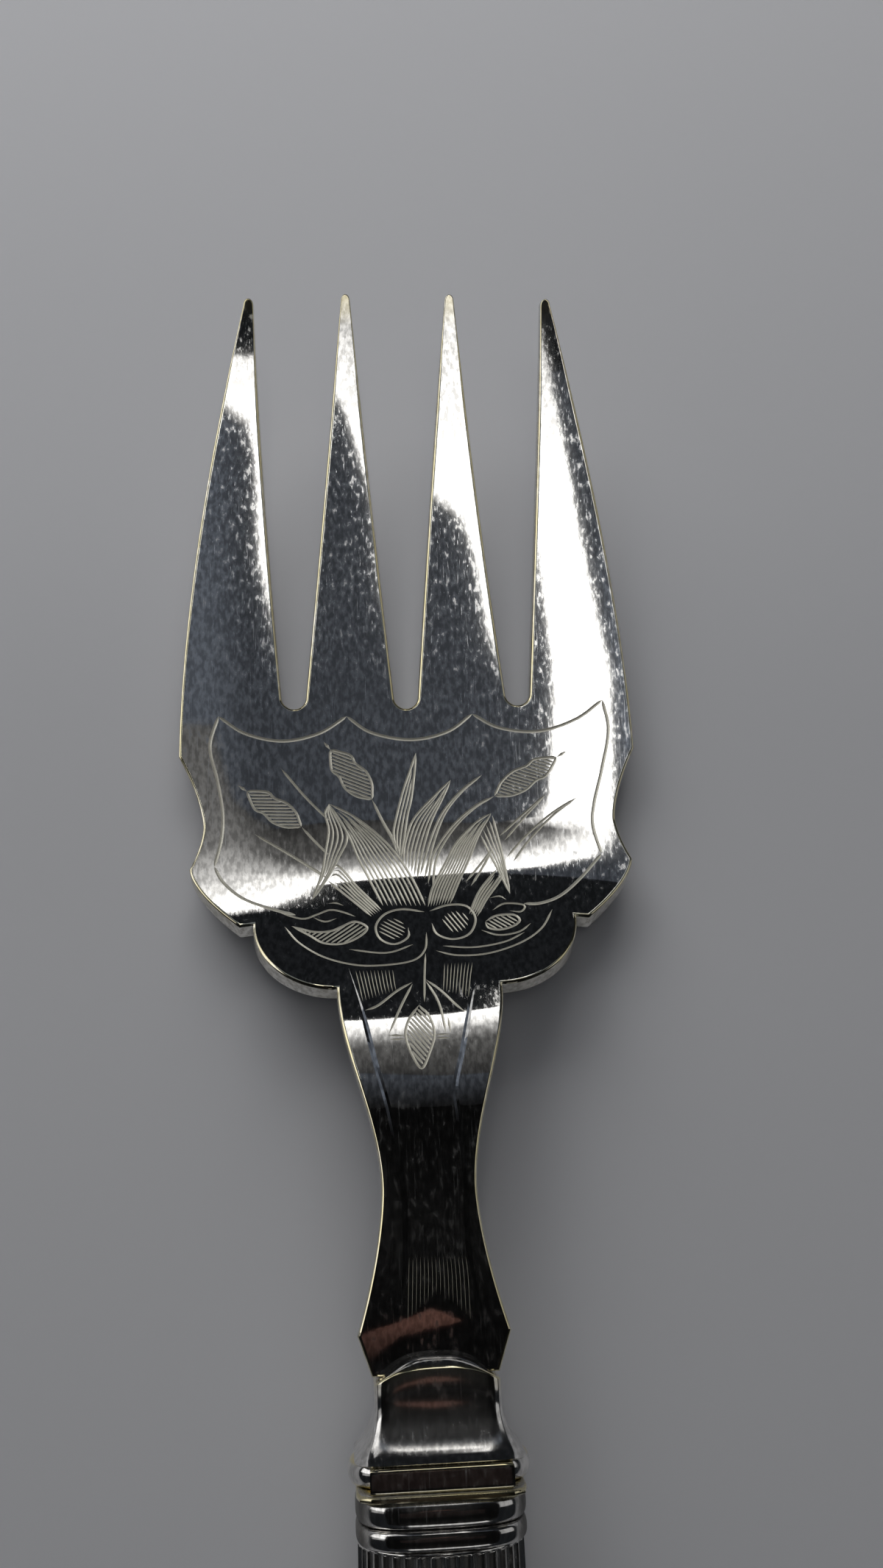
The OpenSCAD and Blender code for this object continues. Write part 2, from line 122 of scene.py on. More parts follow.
def steps(count):
    """Even shares from just past 0 up to 1."""
    return [i / count for i in range(1, count + 1)]


def arc(start, length, turn, way):
    """One bend of the plate: start is (y, z, slope in degrees), way is 1 to the tips and -1 to the handle."""
    half = math.radians(turn) / 2
    chord = way * (length if abs(half) < 1e-6 else length * math.sin(half) / half)
    middle = math.radians(start[2]) + half
    return start[0] + chord * math.cos(middle), start[1] + chord * math.sin(middle), start[2] + turn


lowest = (0.0, plate_t, 0.0)
heel_end = arc(lowest, heel_len, -heel_turn, -1)
shoulder_end = arc(heel_end, shoulder_len, shoulder_turn, -1)
shank_from = heel_len + shoulder_len
shank_bend_len = shank_straight_at - shank_from
shank_turn = handle_fall + heel_turn - shoulder_turn
shank_end = arc(shoulder_end, shank_bend_len, shank_turn, -1)


def spine(s):
    """Middle of the plate's top face, at a distance s ahead of the bowl's lowest line: (y, z, slope)."""
    back = -s
    if s >= 0:
        return arc(lowest, s, tine_curl * s / inner_reach, 1)
    if back <= heel_len:
        return arc(lowest, back, -heel_turn * back / heel_len, -1)
    if back <= shank_from:
        return arc(heel_end, back - heel_len, shoulder_turn * (back - heel_len) / shoulder_len, -1)
    if back <= shank_straight_at:
        return arc(shoulder_end, back - shank_from, shank_turn * (back - shank_from) / shank_bend_len, -1)
    return arc(shank_end, back - shank_straight_at, 0, -1)


slot_end = slot_root + slot_root_r


def bowl_edge(s):
    """Half width of the bowl and of the outer tines above it."""
    part = limit((s - bowl_wide_at) / (outer_reach - bowl_wide_at))
    return mix(bowl_half_w, outer_tip_x + tip_half_w, part ** tine_sweep)


def tine_edges(outer, s):
    """Near and far edge of a tine above the slot roots, as distances from the fork's middle."""
    part = limit((s - slot_end) / ((outer_reach if outer else inner_reach) - slot_end))
    if outer:
        bow = 1 - (1 - part) ** slot_bow
        return slot_pitch + mix(slot_root_r, outer_tip_x - tip_half_w - slot_pitch, bow), bowl_edge(s)
    near = mix(slot_root_r, inner_tip_x - tip_half_w, part)
    return near, slot_pitch - mix(slot_root_r, slot_pitch - inner_tip_x - tip_half_w, part)


def thickness(s):
    """Thickness of the plate, which gets thinner towards the tips."""
    return mix(plate_t, tip_t, limit((s - slot_root) / (inner_reach - slot_root)))


def plate_point(x, s, depth):
    """A point of the bent plate in millimetres from the bowl's lowest line, depth under its top face."""
    y, z, slope = spine(s)
    fade = 1.0 if s >= 0 else ease(limit(1 + s / dish_fade))
    lift = dish_depth * fade * (x / bowl_half_w) ** 2 - depth
    slope = math.radians(slope)
    return Vector((x, y - lift * math.sin(slope), z + lift * math.cos(slope)))


def plate_normal(x, s):
    """Direction that the plate's top face looks in."""
    step = 0.02
    across = plate_point(x + step, s, 0) - plate_point(x - step, s, 0)
    along = plate_point(x, s + step, 0) - plate_point(x, s - step, 0)
    return across.cross(along).normalized()


def tine_outline(outer):
    """Edge points of one tine: up its far edge, over its tip and down its near edge."""
    shoulder = (outer_reach if outer else inner_reach) - tip_round
    start = bowl_wide_at if outer else slot_end
    up = [(tine_edges(outer, s)[1], s) for s in (mix(start, shoulder, t) for t in steps(70))]
    near, far = tine_edges(outer, shoulder)
    tip = [((near + far) / 2 + (far - near) / 2 * math.cos(a), shoulder + tip_round * math.sin(a))
           for a in (math.pi * t for t in steps(9)[:-1])]
    down = [(tine_edges(outer, s)[0], s) for s in (mix(shoulder, slot_end, t) for t in [0] + steps(60))]
    return up + tip + down


def round_root(centre, turn, count):
    """Outline points round the root of a slot."""
    return [(centre + slot_root_r * math.cos(a), slot_end - slot_root_r * math.sin(a))
            for a in (turn * t for t in steps(count))]


def curved(start, end, count, shape):
    """Outline points from start to end: the distance along runs evenly and the half width follows a shape."""
    return [(mix(start[0], end[0], shape(t)), mix(start[1], end[1], t)) for t in steps(count)]


ear, shank_waist = (ear_half_w, -ear_at), (shank_waist_half_w, -shank_waist_at)
lobe_foot, wing_foot = (shank_top_half_w, -lobe_foot_at), (wing_foot_half_w, -wing_foot_at)
wing, waist, widest = (wing_half_w, -wing_at), (waist_half_w, -waist_at), (bowl_half_w, bowl_wide_at)
right_side = (
    [(tongue_half_w, -neck_at - tongue_len), (tongue_half_w, -neck_at - solder_gap), (neck_half_w, -neck_at)]
    + curved((neck_half_w, -neck_at), ear, 6, lambda t: t)
    + curved(ear, shank_waist, 26, lambda t: 1 - (1 - t) ** edge_curve)
    + curved(shank_waist, lobe_foot, 40, ease)
    + [(mix(shank_top_half_w, notch_half_w, math.sin(a)), -mix(notch_at, lobe_foot_at, math.cos(a)))
       for a in (math.pi / 2 * t for t in steps(26))]
    + [wing_foot]
    + curved(wing_foot, wing, 18, lambda t: 1 - (1 - t) ** edge_curve)
    + curved(wing, waist, 12, lambda t: 1 - (1 - t) ** edge_curve)
    + curved(waist, widest, 20, lambda t: t ** edge_curve)
    + tine_outline(True)
    + round_root(slot_pitch, math.pi, 14)
    + tine_outline(False)
    + round_root(0.0, math.pi / 2, 7)
)
outline = right_side + [(-x, s) for x, s in reversed(right_side[:-1])]


def edge_normals(loop):
    """Outward direction at each point of a closed outline that runs anticlockwise, lengthened at corners."""
    directions = []
    for i, point in enumerate(loop):
        before = Vector(point) - Vector(loop[i - 1])
        after = Vector(loop[(i + 1) % len(loop)]) - Vector(point)
        a = Vector((before.y, -before.x)).normalized()
        b = Vector((after.y, -after.x)).normalized()
        both = (a + b).normalized()
        directions.append(both / max(sharpest_corner, both.dot(a)))
    return directions


outward = edge_normals(outline)


def rim_at(s):
    """Radius of the rounded rim, which gets finer towards the tips."""
    return rim_round * mix(1, tip_rim_share, ease(limit((s - tip_rim_at) / (outer_reach - tip_rim_at))))


def inset(share):
    """The outline moved inwards by a share of its rim's radius."""
    return [(x - n.x * share * rim_at(s), s - n.y * share * rim_at(s)) for (x, s), n in zip(outline, outward)]


# Cuts of the graver on the flat plate: each is a run of (point, half width, depth), and dull or bright
cuts = []


def through(points, spacing=0.35):
    """A smooth curve through given points, as evenly spaced points."""
    p = [Vector(q) for q in points]
    p = [2 * p[0] - p[1]] + p + [2 * p[-1] - p[-2]]
    curve = [p[1]]
    for a, b, c, d in zip(p, p[1:], p[2:], p[3:]):
        count = max(1, round((c - b).length / spacing))
        for t in steps(count):
            curve.append(0.5 * (2 * b + (c - a) * t + (2 * a - 5 * b + 4 * c - d) * t * t
                                + (3 * b - a - 3 * c + d) * t ** 3))
    return curve


def cut(points, width=0.3, depth=0.09, taper=1.0, dull=True):
    """One V-shaped cut that starts and ends in a point."""
    curve = through(points)
    ends = max(1, len(curve) - 1)
    length = sum((b - a).length for a, b in zip(curve, curve[1:]))
    for_taper = min(taper, length / 2) / length
    share = [min(1.0, i / ends / for_taper, (ends - i) / ends / for_taper) for i in range(len(curve))]
    cuts.append(([(p, width / 2 * q, depth * q) for p, q in zip(curve, share)], dull))


def side_by_side(points, gap, **graver):
    """Two cuts that run beside each other and meet at the last point."""
    cut(points, **graver)
    last = len(points) - 1
    cut([(x + gap * (1 - i / last), s - gap * (1 - i / last)) for i, (x, s) in enumerate(points)], **graver)


def blade(left, right, veins, width=0.24):
    """A leaf: two edges that meet at the tip, and veins between them."""
    cut(left)
    cut(right)
    a, b = through(left), through(right)
    for k in range(1, veins + 1):
        line = []
        for t in [i / 12 for i in range(12)]:
            p = a[round(t * (len(a) - 1))].lerp(b[round(t * (len(b) - 1))], k / (veins + 1))
            line.append(tuple(p))
        cut(line[: 12 - (k % 3)], width=width, depth=fine_depth)


def hatch(ring, angle, pitch=0.42, width=0.28):
    """Parallel cuts that fill a closed ring of points."""
    turn = math.radians(angle)
    along, across = Vector((math.cos(turn), math.sin(turn))), Vector((-math.sin(turn), math.cos(turn)))
    ring = [Vector(p) for p in ring]
    low, high = min(p.dot(across) for p in ring), max(p.dot(across) for p in ring)
    for k in range(1, int((high - low) / pitch) + 1):
        level = low + k * pitch
        hits = []
        for a, b in zip(ring, ring[1:] + ring[:1]):
            da, db = a.dot(across) - level, b.dot(across) - level
            if (da < 0) != (db < 0):
                hits.append(a.lerp(b, da / (da - db)).dot(along))
        hits.sort()
        for start, end in zip(hits[::2], hits[1::2]):
            if end - start > shortest_stroke:
                stroke = [tuple(along * v + across * level) for v in (start, (start + end) / 2, end)]
                cut(stroke, width=width, depth=fine_depth, taper=0.4)


def cattail(tip, base, half_w, angle):
    """A bulrush head: a spindle with two swellings, hatched, with a spike beyond its tip."""
    tip, base = Vector(tip), Vector(base)
    side = Vector((base.y - tip.y, tip.x - base.x)).normalized() * half_w
    shape = ((0, 0), (0.1, 0.42), (0.27, 0.95), (0.4, 0.82), (0.6, 1.05), (0.8, 0.8), (0.92, 0.34), (1, 0))
    edges = [[tuple(tip.lerp(base, t) + side * way * w) for t, w in shape] for way in (1, -1)]
    for edge in edges:
        cut(edge, width=0.34, taper=0.3)
    hatch([tuple(p) for p in through(edges[0])[:-1] + through(edges[1])[:0:-1]], angle)
    cut([tuple(tip + (tip - base) * 0.16), tuple(tip)], width=0.4)


def volute(points, eye, radius, angle):
    """A scroll that curls round a hatched eye."""
    cut(points, width=0.28)
    turns = [math.tau * t for t in steps(18)]
    hatch([(eye[0] + radius * math.cos(a), eye[1] + radius * math.sin(a)) for a in turns], angle, 0.5, 0.18)


# Shield line round the bowl: three scallops under the tines, waved sides and the shoulders of the shield
for scallop in (
    [(-23.2, 10.8), (-20, 8.7), (-15.5, 7.8), (-11, 8.8), (-7.5, 11)],
    [(-7.5, 11), (-4.5, 8.9), (0.4, 7.9), (5, 8.8), (8.2, 11)],
    [(8.2, 11), (11.5, 9.1), (16.3, 8.4), (21, 9.7), (24.4, 12)],
    [(-23.2, 10.8), (-24.2, 6.9), (-23.3, 2.5), (-22.7, -1.5), (-22.8, -5), (-23.6, -8.9)],
    [(24.4, 12), (24.9, 8), (23.8, 3), (22.6, -1.3), (22.2, -4.4), (22.9, -8.4)],
    [(-23.6, -8.9), (-22.5, -11), (-20.2, -13.1), (-16.8, -14.5), (-14, -15.3)],
    [(22.9, -8.4), (20.2, -11.4), (17.5, -13.7), (15, -14.6), (13, -14.5)],
):
    cut(scallop, width=0.4, taper=0.5)

# Bulrushes with their stalks, reed blades and grasses
cattail((-19.8, 1.3), (-13.3, -3.2), 1.45, 0)
cattail((-9.6, 6.7), (-4.6, 0.3), 1.6, -22)
cattail((18.4, 4.9), (10.5, 0.3), 1.35, -20)
side_by_side([(-10.4, -6.6), (-12, -4.8), (-13.3, -3.2)], 0.5)
side_by_side([(-1.8, -6.7), (-2.3, -4.9), (-3.5, -2.4), (-4.6, 0.3)], 0.5)
side_by_side([(1.8, -11), (2.5, -7.5), (3.8, -5.1), (5.8, -2.7), (8.2, -0.8), (10.5, 0.3)], 0.5)
side_by_side([(1.4, -10.3), (2.4, -6.6), (3.5, -3.4), (4.7, -1.1), (6.7, 1.2), (9.1, 3.1)], -0.5)
blade([(-1.8, -6.5), (-2.1, -4.1), (-1.6, -1.7), (-0.7, 1.5), (0.3, 4.2), (1, 6.2)],
      [(-1.4, -7.6), (-0.8, -4.5), (-0.3, -1.7), (0.2, 0.2), (0.7, 3.4), (1, 6.2)], 2)
blade([(-1.1, -8.2), (-0.8, -5.7), (0.1, -2.9), (1.3, -1.2), (3.3, 0.8), (5.2, 2.6)],
      [(0.5, -10.3), (1, -7.8), (1.9, -4.6), (2.8, -2.2), (4.2, 0.5), (5.2, 2.6)], 4)
blade([(1.3, -14.1), (0.1, -10.7), (-1.6, -7.3), (-3.8, -4.5), (-6.7, -2), (-9.9, -0.2)],
      [(-3.7, -14), (-5.1, -10.6), (-6.5, -7.3), (-7.7, -4.1), (-9.9, -0.2)], 8)
blade([(-9.9, -0.2), (-10.4, -1.5), (-10, -3.6), (-10.4, -6.4), (-11, -9.7), (-12.1, -13.1)],
      [(-9.9, -0.2), (-7.8, -4.2), (-8.9, -7.3), (-10.3, -10.1), (-12.1, -13.1)], 3)
blade([(-5.1, -15.5), (-7, -13.5), (-10.3, -10.3)],
      [(-3.9, -14.6), (-6.6, -11.4), (-9.1, -8.3), (-10.3, -10.3)], 4)
blade([(1.6, -14.3), (2.3, -11.6), (4, -8.3), (5.6, -5.5), (8.1, -3), (10, -1.9)],
      [(4.2, -14), (5.5, -10.9), (7, -7.7), (8.4, -4.5), (10, -1.9)], 7)
blade([(8.5, -4.6), (9.7, -7.8), (10.8, -10.8), (11.5, -13)],
      [(10.1, -2.2), (10.6, -5), (11.1, -8.3), (11.5, -13)], 3)
blade([(6.4, -15.6), (7.9, -12.3), (10.3, -9.3)], [(7.3, -16), (8.6, -13.6), (10.7, -10.5), (10.3, -9.3)], 3)
for grass, gap in (
    ([(-10.3, -2), (-13, 0.9), (-15.7, 4.3)], 0.5),
    ([(-10.6, -9.7), (-14.7, -6.9), (-18.9, -4.3)], 0.5),
    ([(10.8, -5), (13.4, -2.7), (16.8, 0.2)], 0.6),
    ([(11.5, -7.9), (14, -5.2), (17.2, -2.5), (20.5, -0.5)], 0.7),
    ([(6.3, -11), (8.3, -8.6), (10, -6.4)], 0.6),
):
    side_by_side(grass, gap)

# Scrolls and acanthus below the reeds
eye_round = 1.6
left_scroll = [(1.2, -15), (-1.5, -14.5), (-3.6, -15.2), (-4.7, -17), (-4.2, -18.9), (-2.6, -19.7),
               (-1, -18.7), (-0.9, -17.2)]
right_scroll = [(1.7, -14.9), (4, -14.1), (6.2, -14.4), (7.1, -16.3), (6.2, -18.5), (4.2, -19.2),
                (2.4, -18.3), (1.9, -16.6)]
volute(left_scroll, (-2.8, -17.4), eye_round, -35)
volute(right_scroll, (4.7, -16.6), eye_round, -60)
left_acanthus = [(-14.5, -16.9), (-12.5, -18.2), (-10.8, -19.4), (-8.6, -19.5), (-6.6, -18.4), (-5.7, -17.1),
                 (-7.1, -16.2), (-8.6, -16.9), (-10, -17.6), (-12, -17.7)]
right_acanthus = [(8.2, -16.8), (9.6, -16), (11.6, -16), (12.3, -16.9), (11.4, -17.7), (9.8, -18.1),
                  (8.5, -17.7)]
for acanthus, angle in ((left_acanthus, 40), (right_acanthus, -40)):
    cut(acanthus + acanthus[:1])
    hatch(acanthus, angle, 0.46, 0.22)
for flourish in (
    [(-16.1, -14.9), (-13.3, -15.8), (-11.6, -15.2), (-10, -14.5), (-8.5, -14.8), (-7, -15.5)],
    [(-12, -15.6), (-10.6, -16.2), (-9.2, -15.7)],
    [(-10.2, -13.6), (-9.3, -13.5), (-8.4, -13.9)],
    [(9, -13.4), (10.2, -13.2), (11, -13.8)],
    [(9.2, -15.2), (10.7, -14.3), (13, -14.7), (12.6, -15.6), (11.2, -15.4)],
    [(7.6, -18), (9.6, -18.9), (12, -18.6), (13.6, -17.4)],
    [(-15.3, -17), (-13.6, -19.4), (-10.8, -21.5), (-7.2, -22.7), (-3.7, -22.8), (-0.5, -22.2), (0.9, -20.6),
     (1.2, -18)],
    [(-7.9, -20.4), (-3.6, -21), (-0.4, -19.8)],
    [(2.1, -20.9), (4.6, -21.7), (8.2, -21.6), (12, -20.3), (14.7, -18.3), (16.3, -15.6)],
    [(2.9, -20.2), (6.5, -20.6), (10.2, -20), (12.7, -18.7)],
    [(0.9, -21.2), (0.6, -24.5), (0.4, -28)],
):
    cut(flourish, width=0.24)

# Shank: shading strokes, split leaves, a hatched drop, two long bright flanking cuts and a fan of fine lines
for x in [mix(-7.2, -3, i / 10) for i in range(11)]:
    cut([(x, -23.5), (x * 0.95, -25.5), (x * 0.9, -26.4 - 0.3 * abs(x + 3))], width=0.1, depth=0.05)
for x in [mix(3, 6.2, i / 8) for i in range(9)]:
    cut([(x, -22.8), (x * 0.93, -25), (x * 0.87, -26.6 - 0.3 * abs(x - 3))], width=0.1, depth=0.05)
for split in (
    [(-0.8, -25.3), (-2.6, -26.4), (-4.8, -28.2), (-6.3, -28.8)],
    [(-0.8, -25.5), (-2.2, -28.3), (-3.7, -31.7)],
    [(0.7, -25), (2.4, -26.6), (3.8, -28.3), (4.9, -29.4)],
    [(0.7, -25.2), (2, -28.1), (2.6, -31.9)],
    [(-3.9, -31.9), (-1.9, -32)],
    [(-3.7, -32.4), (-1.9, -32.4)],
    [(1.3, -32), (3.1, -32)],
    [(1.3, -32.4), (3, -32.4)],
    [(2.9, -29.7), (3.1, -31.9)],
):
    cut(split, width=0.28)
drop = [(-0.2, -28.3), (-1.5, -30.2), (-1.9, -32), (-1.3, -34.2), (-0.3, -35.8), (0.6, -34.2), (1.3, -32),
        (0.9, -29.9)]
cut(drop + drop[:1])
hatch(drop, -52)
for flank in (
    [(-8, -23.1), (-6.5, -29.4), (-5.3, -35.1), (-4.1, -39.9), (-3.4, -44), (-2.8, -48.2), (-2.7, -52.4),
     (-3.1, -57.8), (-4.1, -61.5)],
    [(7.1, -22.4), (5.6, -28.2), (4.3, -33.9), (3.3, -37.9), (3.5, -41.4), (3.8, -45.7), (3.9, -49.9),
     (3.8, -53.5), (4.3, -57.6), (5.2, -61.7)],
):
    cut(flank, width=0.6, depth=fine_depth, taper=8, dull=False)
for t in [i / 15 for i in range(16)]:
    x = mix(-2.4, 3.5, t)
    fan = [(x, -55.4), (x * 1.05, -57.5), (x * 1.1 - 0.1, -59.2 - 2.6 * abs(2 * t - 1) ** 1.3)]
    cut(fan, width=0.03, depth=0.02)


def inside(points, loop):
    """Which of the points lie inside a closed loop."""
    found = np.zeros(len(points), bool)
    for (ax, ay), (bx, by) in zip(loop, loop[1:] + loop[:1]):
        crosses = (ay > points[:, 1]) != (by > points[:, 1])
        if crosses.any():
            found ^= crosses & (points[:, 0] < (bx - ax) * (points[:, 1] - ay) / (by - ay + 1e-12) + ax)
    return found


def strokes(chosen):
    """Straight stretches of cuts: ends, half widths at the ends and depths at the ends."""
    pairs = [pair for line, _ in chosen for pair in zip(line, line[1:])]
    return np.array([(*a[0], *b[0], a[1], b[1], a[2], b[2]) for a, b in pairs])


every_stroke = strokes(cuts)
dull_strokes = strokes([c for c in cuts if c[1]])


def cut_depths(points, stretches, grow=0.0):
    """Depth of the deepest cut at each point, and whether the point is within grow of any cut."""
    deep, close = np.zeros(len(points)), np.zeros(len(points), bool)
    a, b = stretches[:, 0:2], stretches[:, 2:4]
    run = b - a
    run_2 = np.maximum((run ** 2).sum(1), 1e-12)
    for i in range(0, len(points), batch):
        p = points[i:i + batch, None, :]
        t = np.clip(((p - a) * run).sum(2) / run_2, 0, 1)
        away = np.sqrt(((p - a - t[..., None] * run) ** 2).sum(2))
        half = stretches[:, 4] + (stretches[:, 5] - stretches[:, 4]) * t
        full = stretches[:, 6] + (stretches[:, 7] - stretches[:, 6]) * t
        d = full * (1 - away / np.maximum(half, 1e-6))
        deep[i:i + batch] = np.maximum(d.max(1), 0)
        close[i:i + batch] = (away < half + grow).any(1)
    return deep, close


def flat_mesh(spacing, with_cuts):
    """Triangles of the flat plate inside its rim, with edges along both sides and the middle of every cut."""
    loop = inset(1.0)
    points = [Vector(p) for p in loop]
    edges = [(i, (i + 1) % len(loop)) for i in range(len(loop))]
    grid = np.array([(x, s) for s in np.arange(-neck_at - tongue_len, inner_reach, spacing)
                     for x in np.arange(-bowl_half_w, bowl_half_w, spacing) + 0.1])
    grid = grid[inside(grid, inset(1 + rim_margin * spacing / rim_round))]
    if with_cuts:
        for line, _ in cuts:
            rails = [[], [], []]
            for i, (p, half, _) in enumerate(line):
                q = line[min(i + 1, len(line) - 1)][0] - line[max(i - 1, 0)][0]
                side = Vector((-q.y, q.x)).normalized() * half
                places = [p] if half < 1e-4 else [p - side, p, p + side]
                for k, rail in enumerate(rails):
                    rail.append(len(points) + min(k, len(places) - 1))
                points += places
            for rail in rails:
                edges += [(a, b) for a, b in zip(rail, rail[1:])]
        grid = grid[~cut_depths(grid, every_stroke, cut_margin)[1]]
    points += [Vector(p) for p in grid]
    flat, _, triangles, origin, _, _ = delaunay_2d_cdt(points, edges, [], 1, 1e-4)
    place = {k: i for i, source in enumerate(origin) for k in source}
    return flat, triangles, [place[i] for i in range(len(loop))]


verts, normals, wear, wall_shade, faces = [], [], [], [], []
facets, dull_facets = set(), set()


def add_sheet(with_cuts, spacing, under):
    """Adds the top or the underside of the plate, and returns the places of its edge loop."""
    flat, triangles, loop = flat_mesh(spacing, with_cuts)
    first = len(verts)
    spots = np.array([tuple(p) for p in flat])
    deep = cut_depths(spots, every_stroke)[0] if with_cuts else np.zeros(len(spots))
    for (x, s), d in zip(spots, deep):
        verts.append(plate_point(x, s, thickness(s) if under else d))
        normal = plate_normal(x, s)
        normals.append(-normal if under else normal)
        wear.append(ease(limit((s - tip_wear_at) / (inner_reach - tip_wear_at))))
        wall_shade.append(0.0)
    if with_cuts:
        cut_triangles = [i for i, t in enumerate(triangles) if max(deep[k] for k in t) > least_depth]
        middles = np.array([spots[list(triangles[i])].mean(0) for i in cut_triangles])
        dull = cut_depths(middles, dull_strokes)[0] > least_depth
        facets.update(len(faces) + i for i in cut_triangles)
        dull_facets.update(len(faces) + i for i, is_dull in zip(cut_triangles, dull) if is_dull)
    faces.extend([first + i for i in (reversed(t) if under else t)] for t in triangles)
    return [first + i for i in loop]


rings = [add_sheet(True, face_spacing, False)]
# Round the rim, the side wall and the lower rounding get painted shade for the shadowed table that they
# mirror.
rim = [(1 - math.sin(a), 1 - math.cos(a), a) for a in (math.pi / 2 * t for t in steps(5))]
for under in (False, True):
    for across, down, turn in (reversed(rim) if under else rim):
        rings.append(range(len(verts), len(verts) + len(outline)))
        for (x, s), n, (px, ps) in zip(outline, outward, inset(across)):
            drop_by = down * rim_at(s)
            verts.append(plate_point(px, ps, thickness(s) - drop_by if under else drop_by))
            up = plate_normal(x, s)
            out = plate_point(x + n.x * nudge, s + n.y * nudge, 0) - plate_point(x, s, 0)
            normals.append(math.sin(turn) * out.normalized() + math.cos(turn) * (-up if under else up))
            wear.append(side_wear if under else mix(side_wear, 1.0, math.cos(turn)))
            wall_shade.append(wall_shade_level if under else wall_shade_level * math.sin(turn) ** 4)
rings.append(add_sheet(False, back_spacing, True))
for upper, lower in zip(rings, rings[1:]):
    for i in range(len(outline)):
        j = (i + 1) % len(outline)
        faces.append((upper[i], lower[i], lower[j], upper[j]))

bowl_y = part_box("fork_head")[1].y / mm - plate_point(inner_tip_x, inner_reach, tip_t).y
bowl_place = Vector((0, bowl_y, 0))
head_mesh = bpy.data.meshes.new("fork_head_plate")
head_mesh.from_pydata([tuple((v + bowl_place) * mm) for v in verts], [], faces)
head_mesh.update()
head_mesh.polygons.foreach_set("use_smooth", [True] * len(faces))
head_mesh.polygons.foreach_set("material_index", [int(i in dull_facets) for i in range(len(faces))])
corner_normals = []
for polygon in head_mesh.polygons:
    flat = polygon.normal.copy() if polygon.index in facets else None
    corner_normals += [tuple(flat or normals[v].normalized()) for v in polygon.vertices]
head_mesh.normals_split_custom_set(corner_normals)


def mark(mesh, name, values):
    """Keeps one number per point of a mesh, for its material to read."""
    mesh.attributes.new(name, "FLOAT", "POINT").data.foreach_set("value", values)


mark(head_mesh, "edge_wear", wear)
# The darkening kept here is painted shade on the rim's side wall.
mark(head_mesh, "tarnish_and_shade", wall_shade)


def new_material(name):
    """A material with its node tree, a shader and the object's own coordinates."""
    material = bpy.data.materials.new(name)
    material.use_nodes = True
    tree = material.node_tree
    coordinates = tree.nodes.new("ShaderNodeTexCoord")
    return material, tree, tree.nodes["Principled BSDF"], coordinates.outputs["Object"]


def noise(tree, place, scale, detail=2.0):
    """Noise over the object, scale times per metre, as a value from 0 to 1."""
    node = tree.nodes.new("ShaderNodeTexNoise")
    node.inputs["Scale"].default_value = scale
    node.inputs["Detail"].default_value = detail
    tree.links.new(place, node.inputs["Vector"])
    return node.outputs["Fac"]


def ramp(tree, value, start, end, low, high):
    """A value that goes from low to high while its source goes from start to end."""
    node = tree.nodes.new("ShaderNodeMapRange")
    for name, number in (("From Min", start), ("From Max", end), ("To Min", low), ("To Max", high)):
        node.inputs[name].default_value = number
    tree.links.new(value, node.inputs["Value"])
    return node.outputs["Result"]


def sums(tree, first, second, operation="ADD"):
    """Two values added, or joined by another operation."""
    node = tree.nodes.new("ShaderNodeMath")
    node.operation = operation
    tree.links.new(first, node.inputs[0])
    tree.links.new(second, node.inputs[1])
    return node.outputs["Value"]


def blend(tree, share, first, second):
    """A colour between two others. Each is a colour or another node's output."""
    node = tree.nodes.new("ShaderNodeMix")
    node.data_type = "RGBA"
    tree.links.new(share, node.inputs["Factor"])
    for socket, colour in (("A", first), ("B", second)):
        if isinstance(colour, tuple):
            node.inputs[socket].default_value = (*colour, 1)
        else:
            tree.links.new(colour, node.inputs[socket])
    return node.outputs["Result"]


def marked(tree, name):
    """A number that a mesh keeps per point."""
    node = tree.nodes.new("ShaderNodeAttribute")
    node.attribute_name = name
    return node.outputs["Fac"]


def stretched(tree, place, scale, turn=0.0):
    """Coordinates scaled along each axis and then turned about the vertical."""
    node = tree.nodes.new("ShaderNodeMapping")
    node.inputs["Rotation"].default_value = (0, 0, turn)
    node.inputs["Scale"].default_value = scale
    tree.links.new(place, node.inputs["Vector"])
    return node.outputs["Vector"]


def bump(tree, shader, height, strength, distance):
    """Makes a surface uneven by a value that stands for its height."""
    node = tree.nodes.new("ShaderNodeBump")
    node.inputs["Strength"].default_value = strength
    node.inputs["Distance"].default_value = distance
    tree.links.new(height, node.inputs["Height"])
    tree.links.new(node.outputs["Normal"], shader.inputs["Normal"])


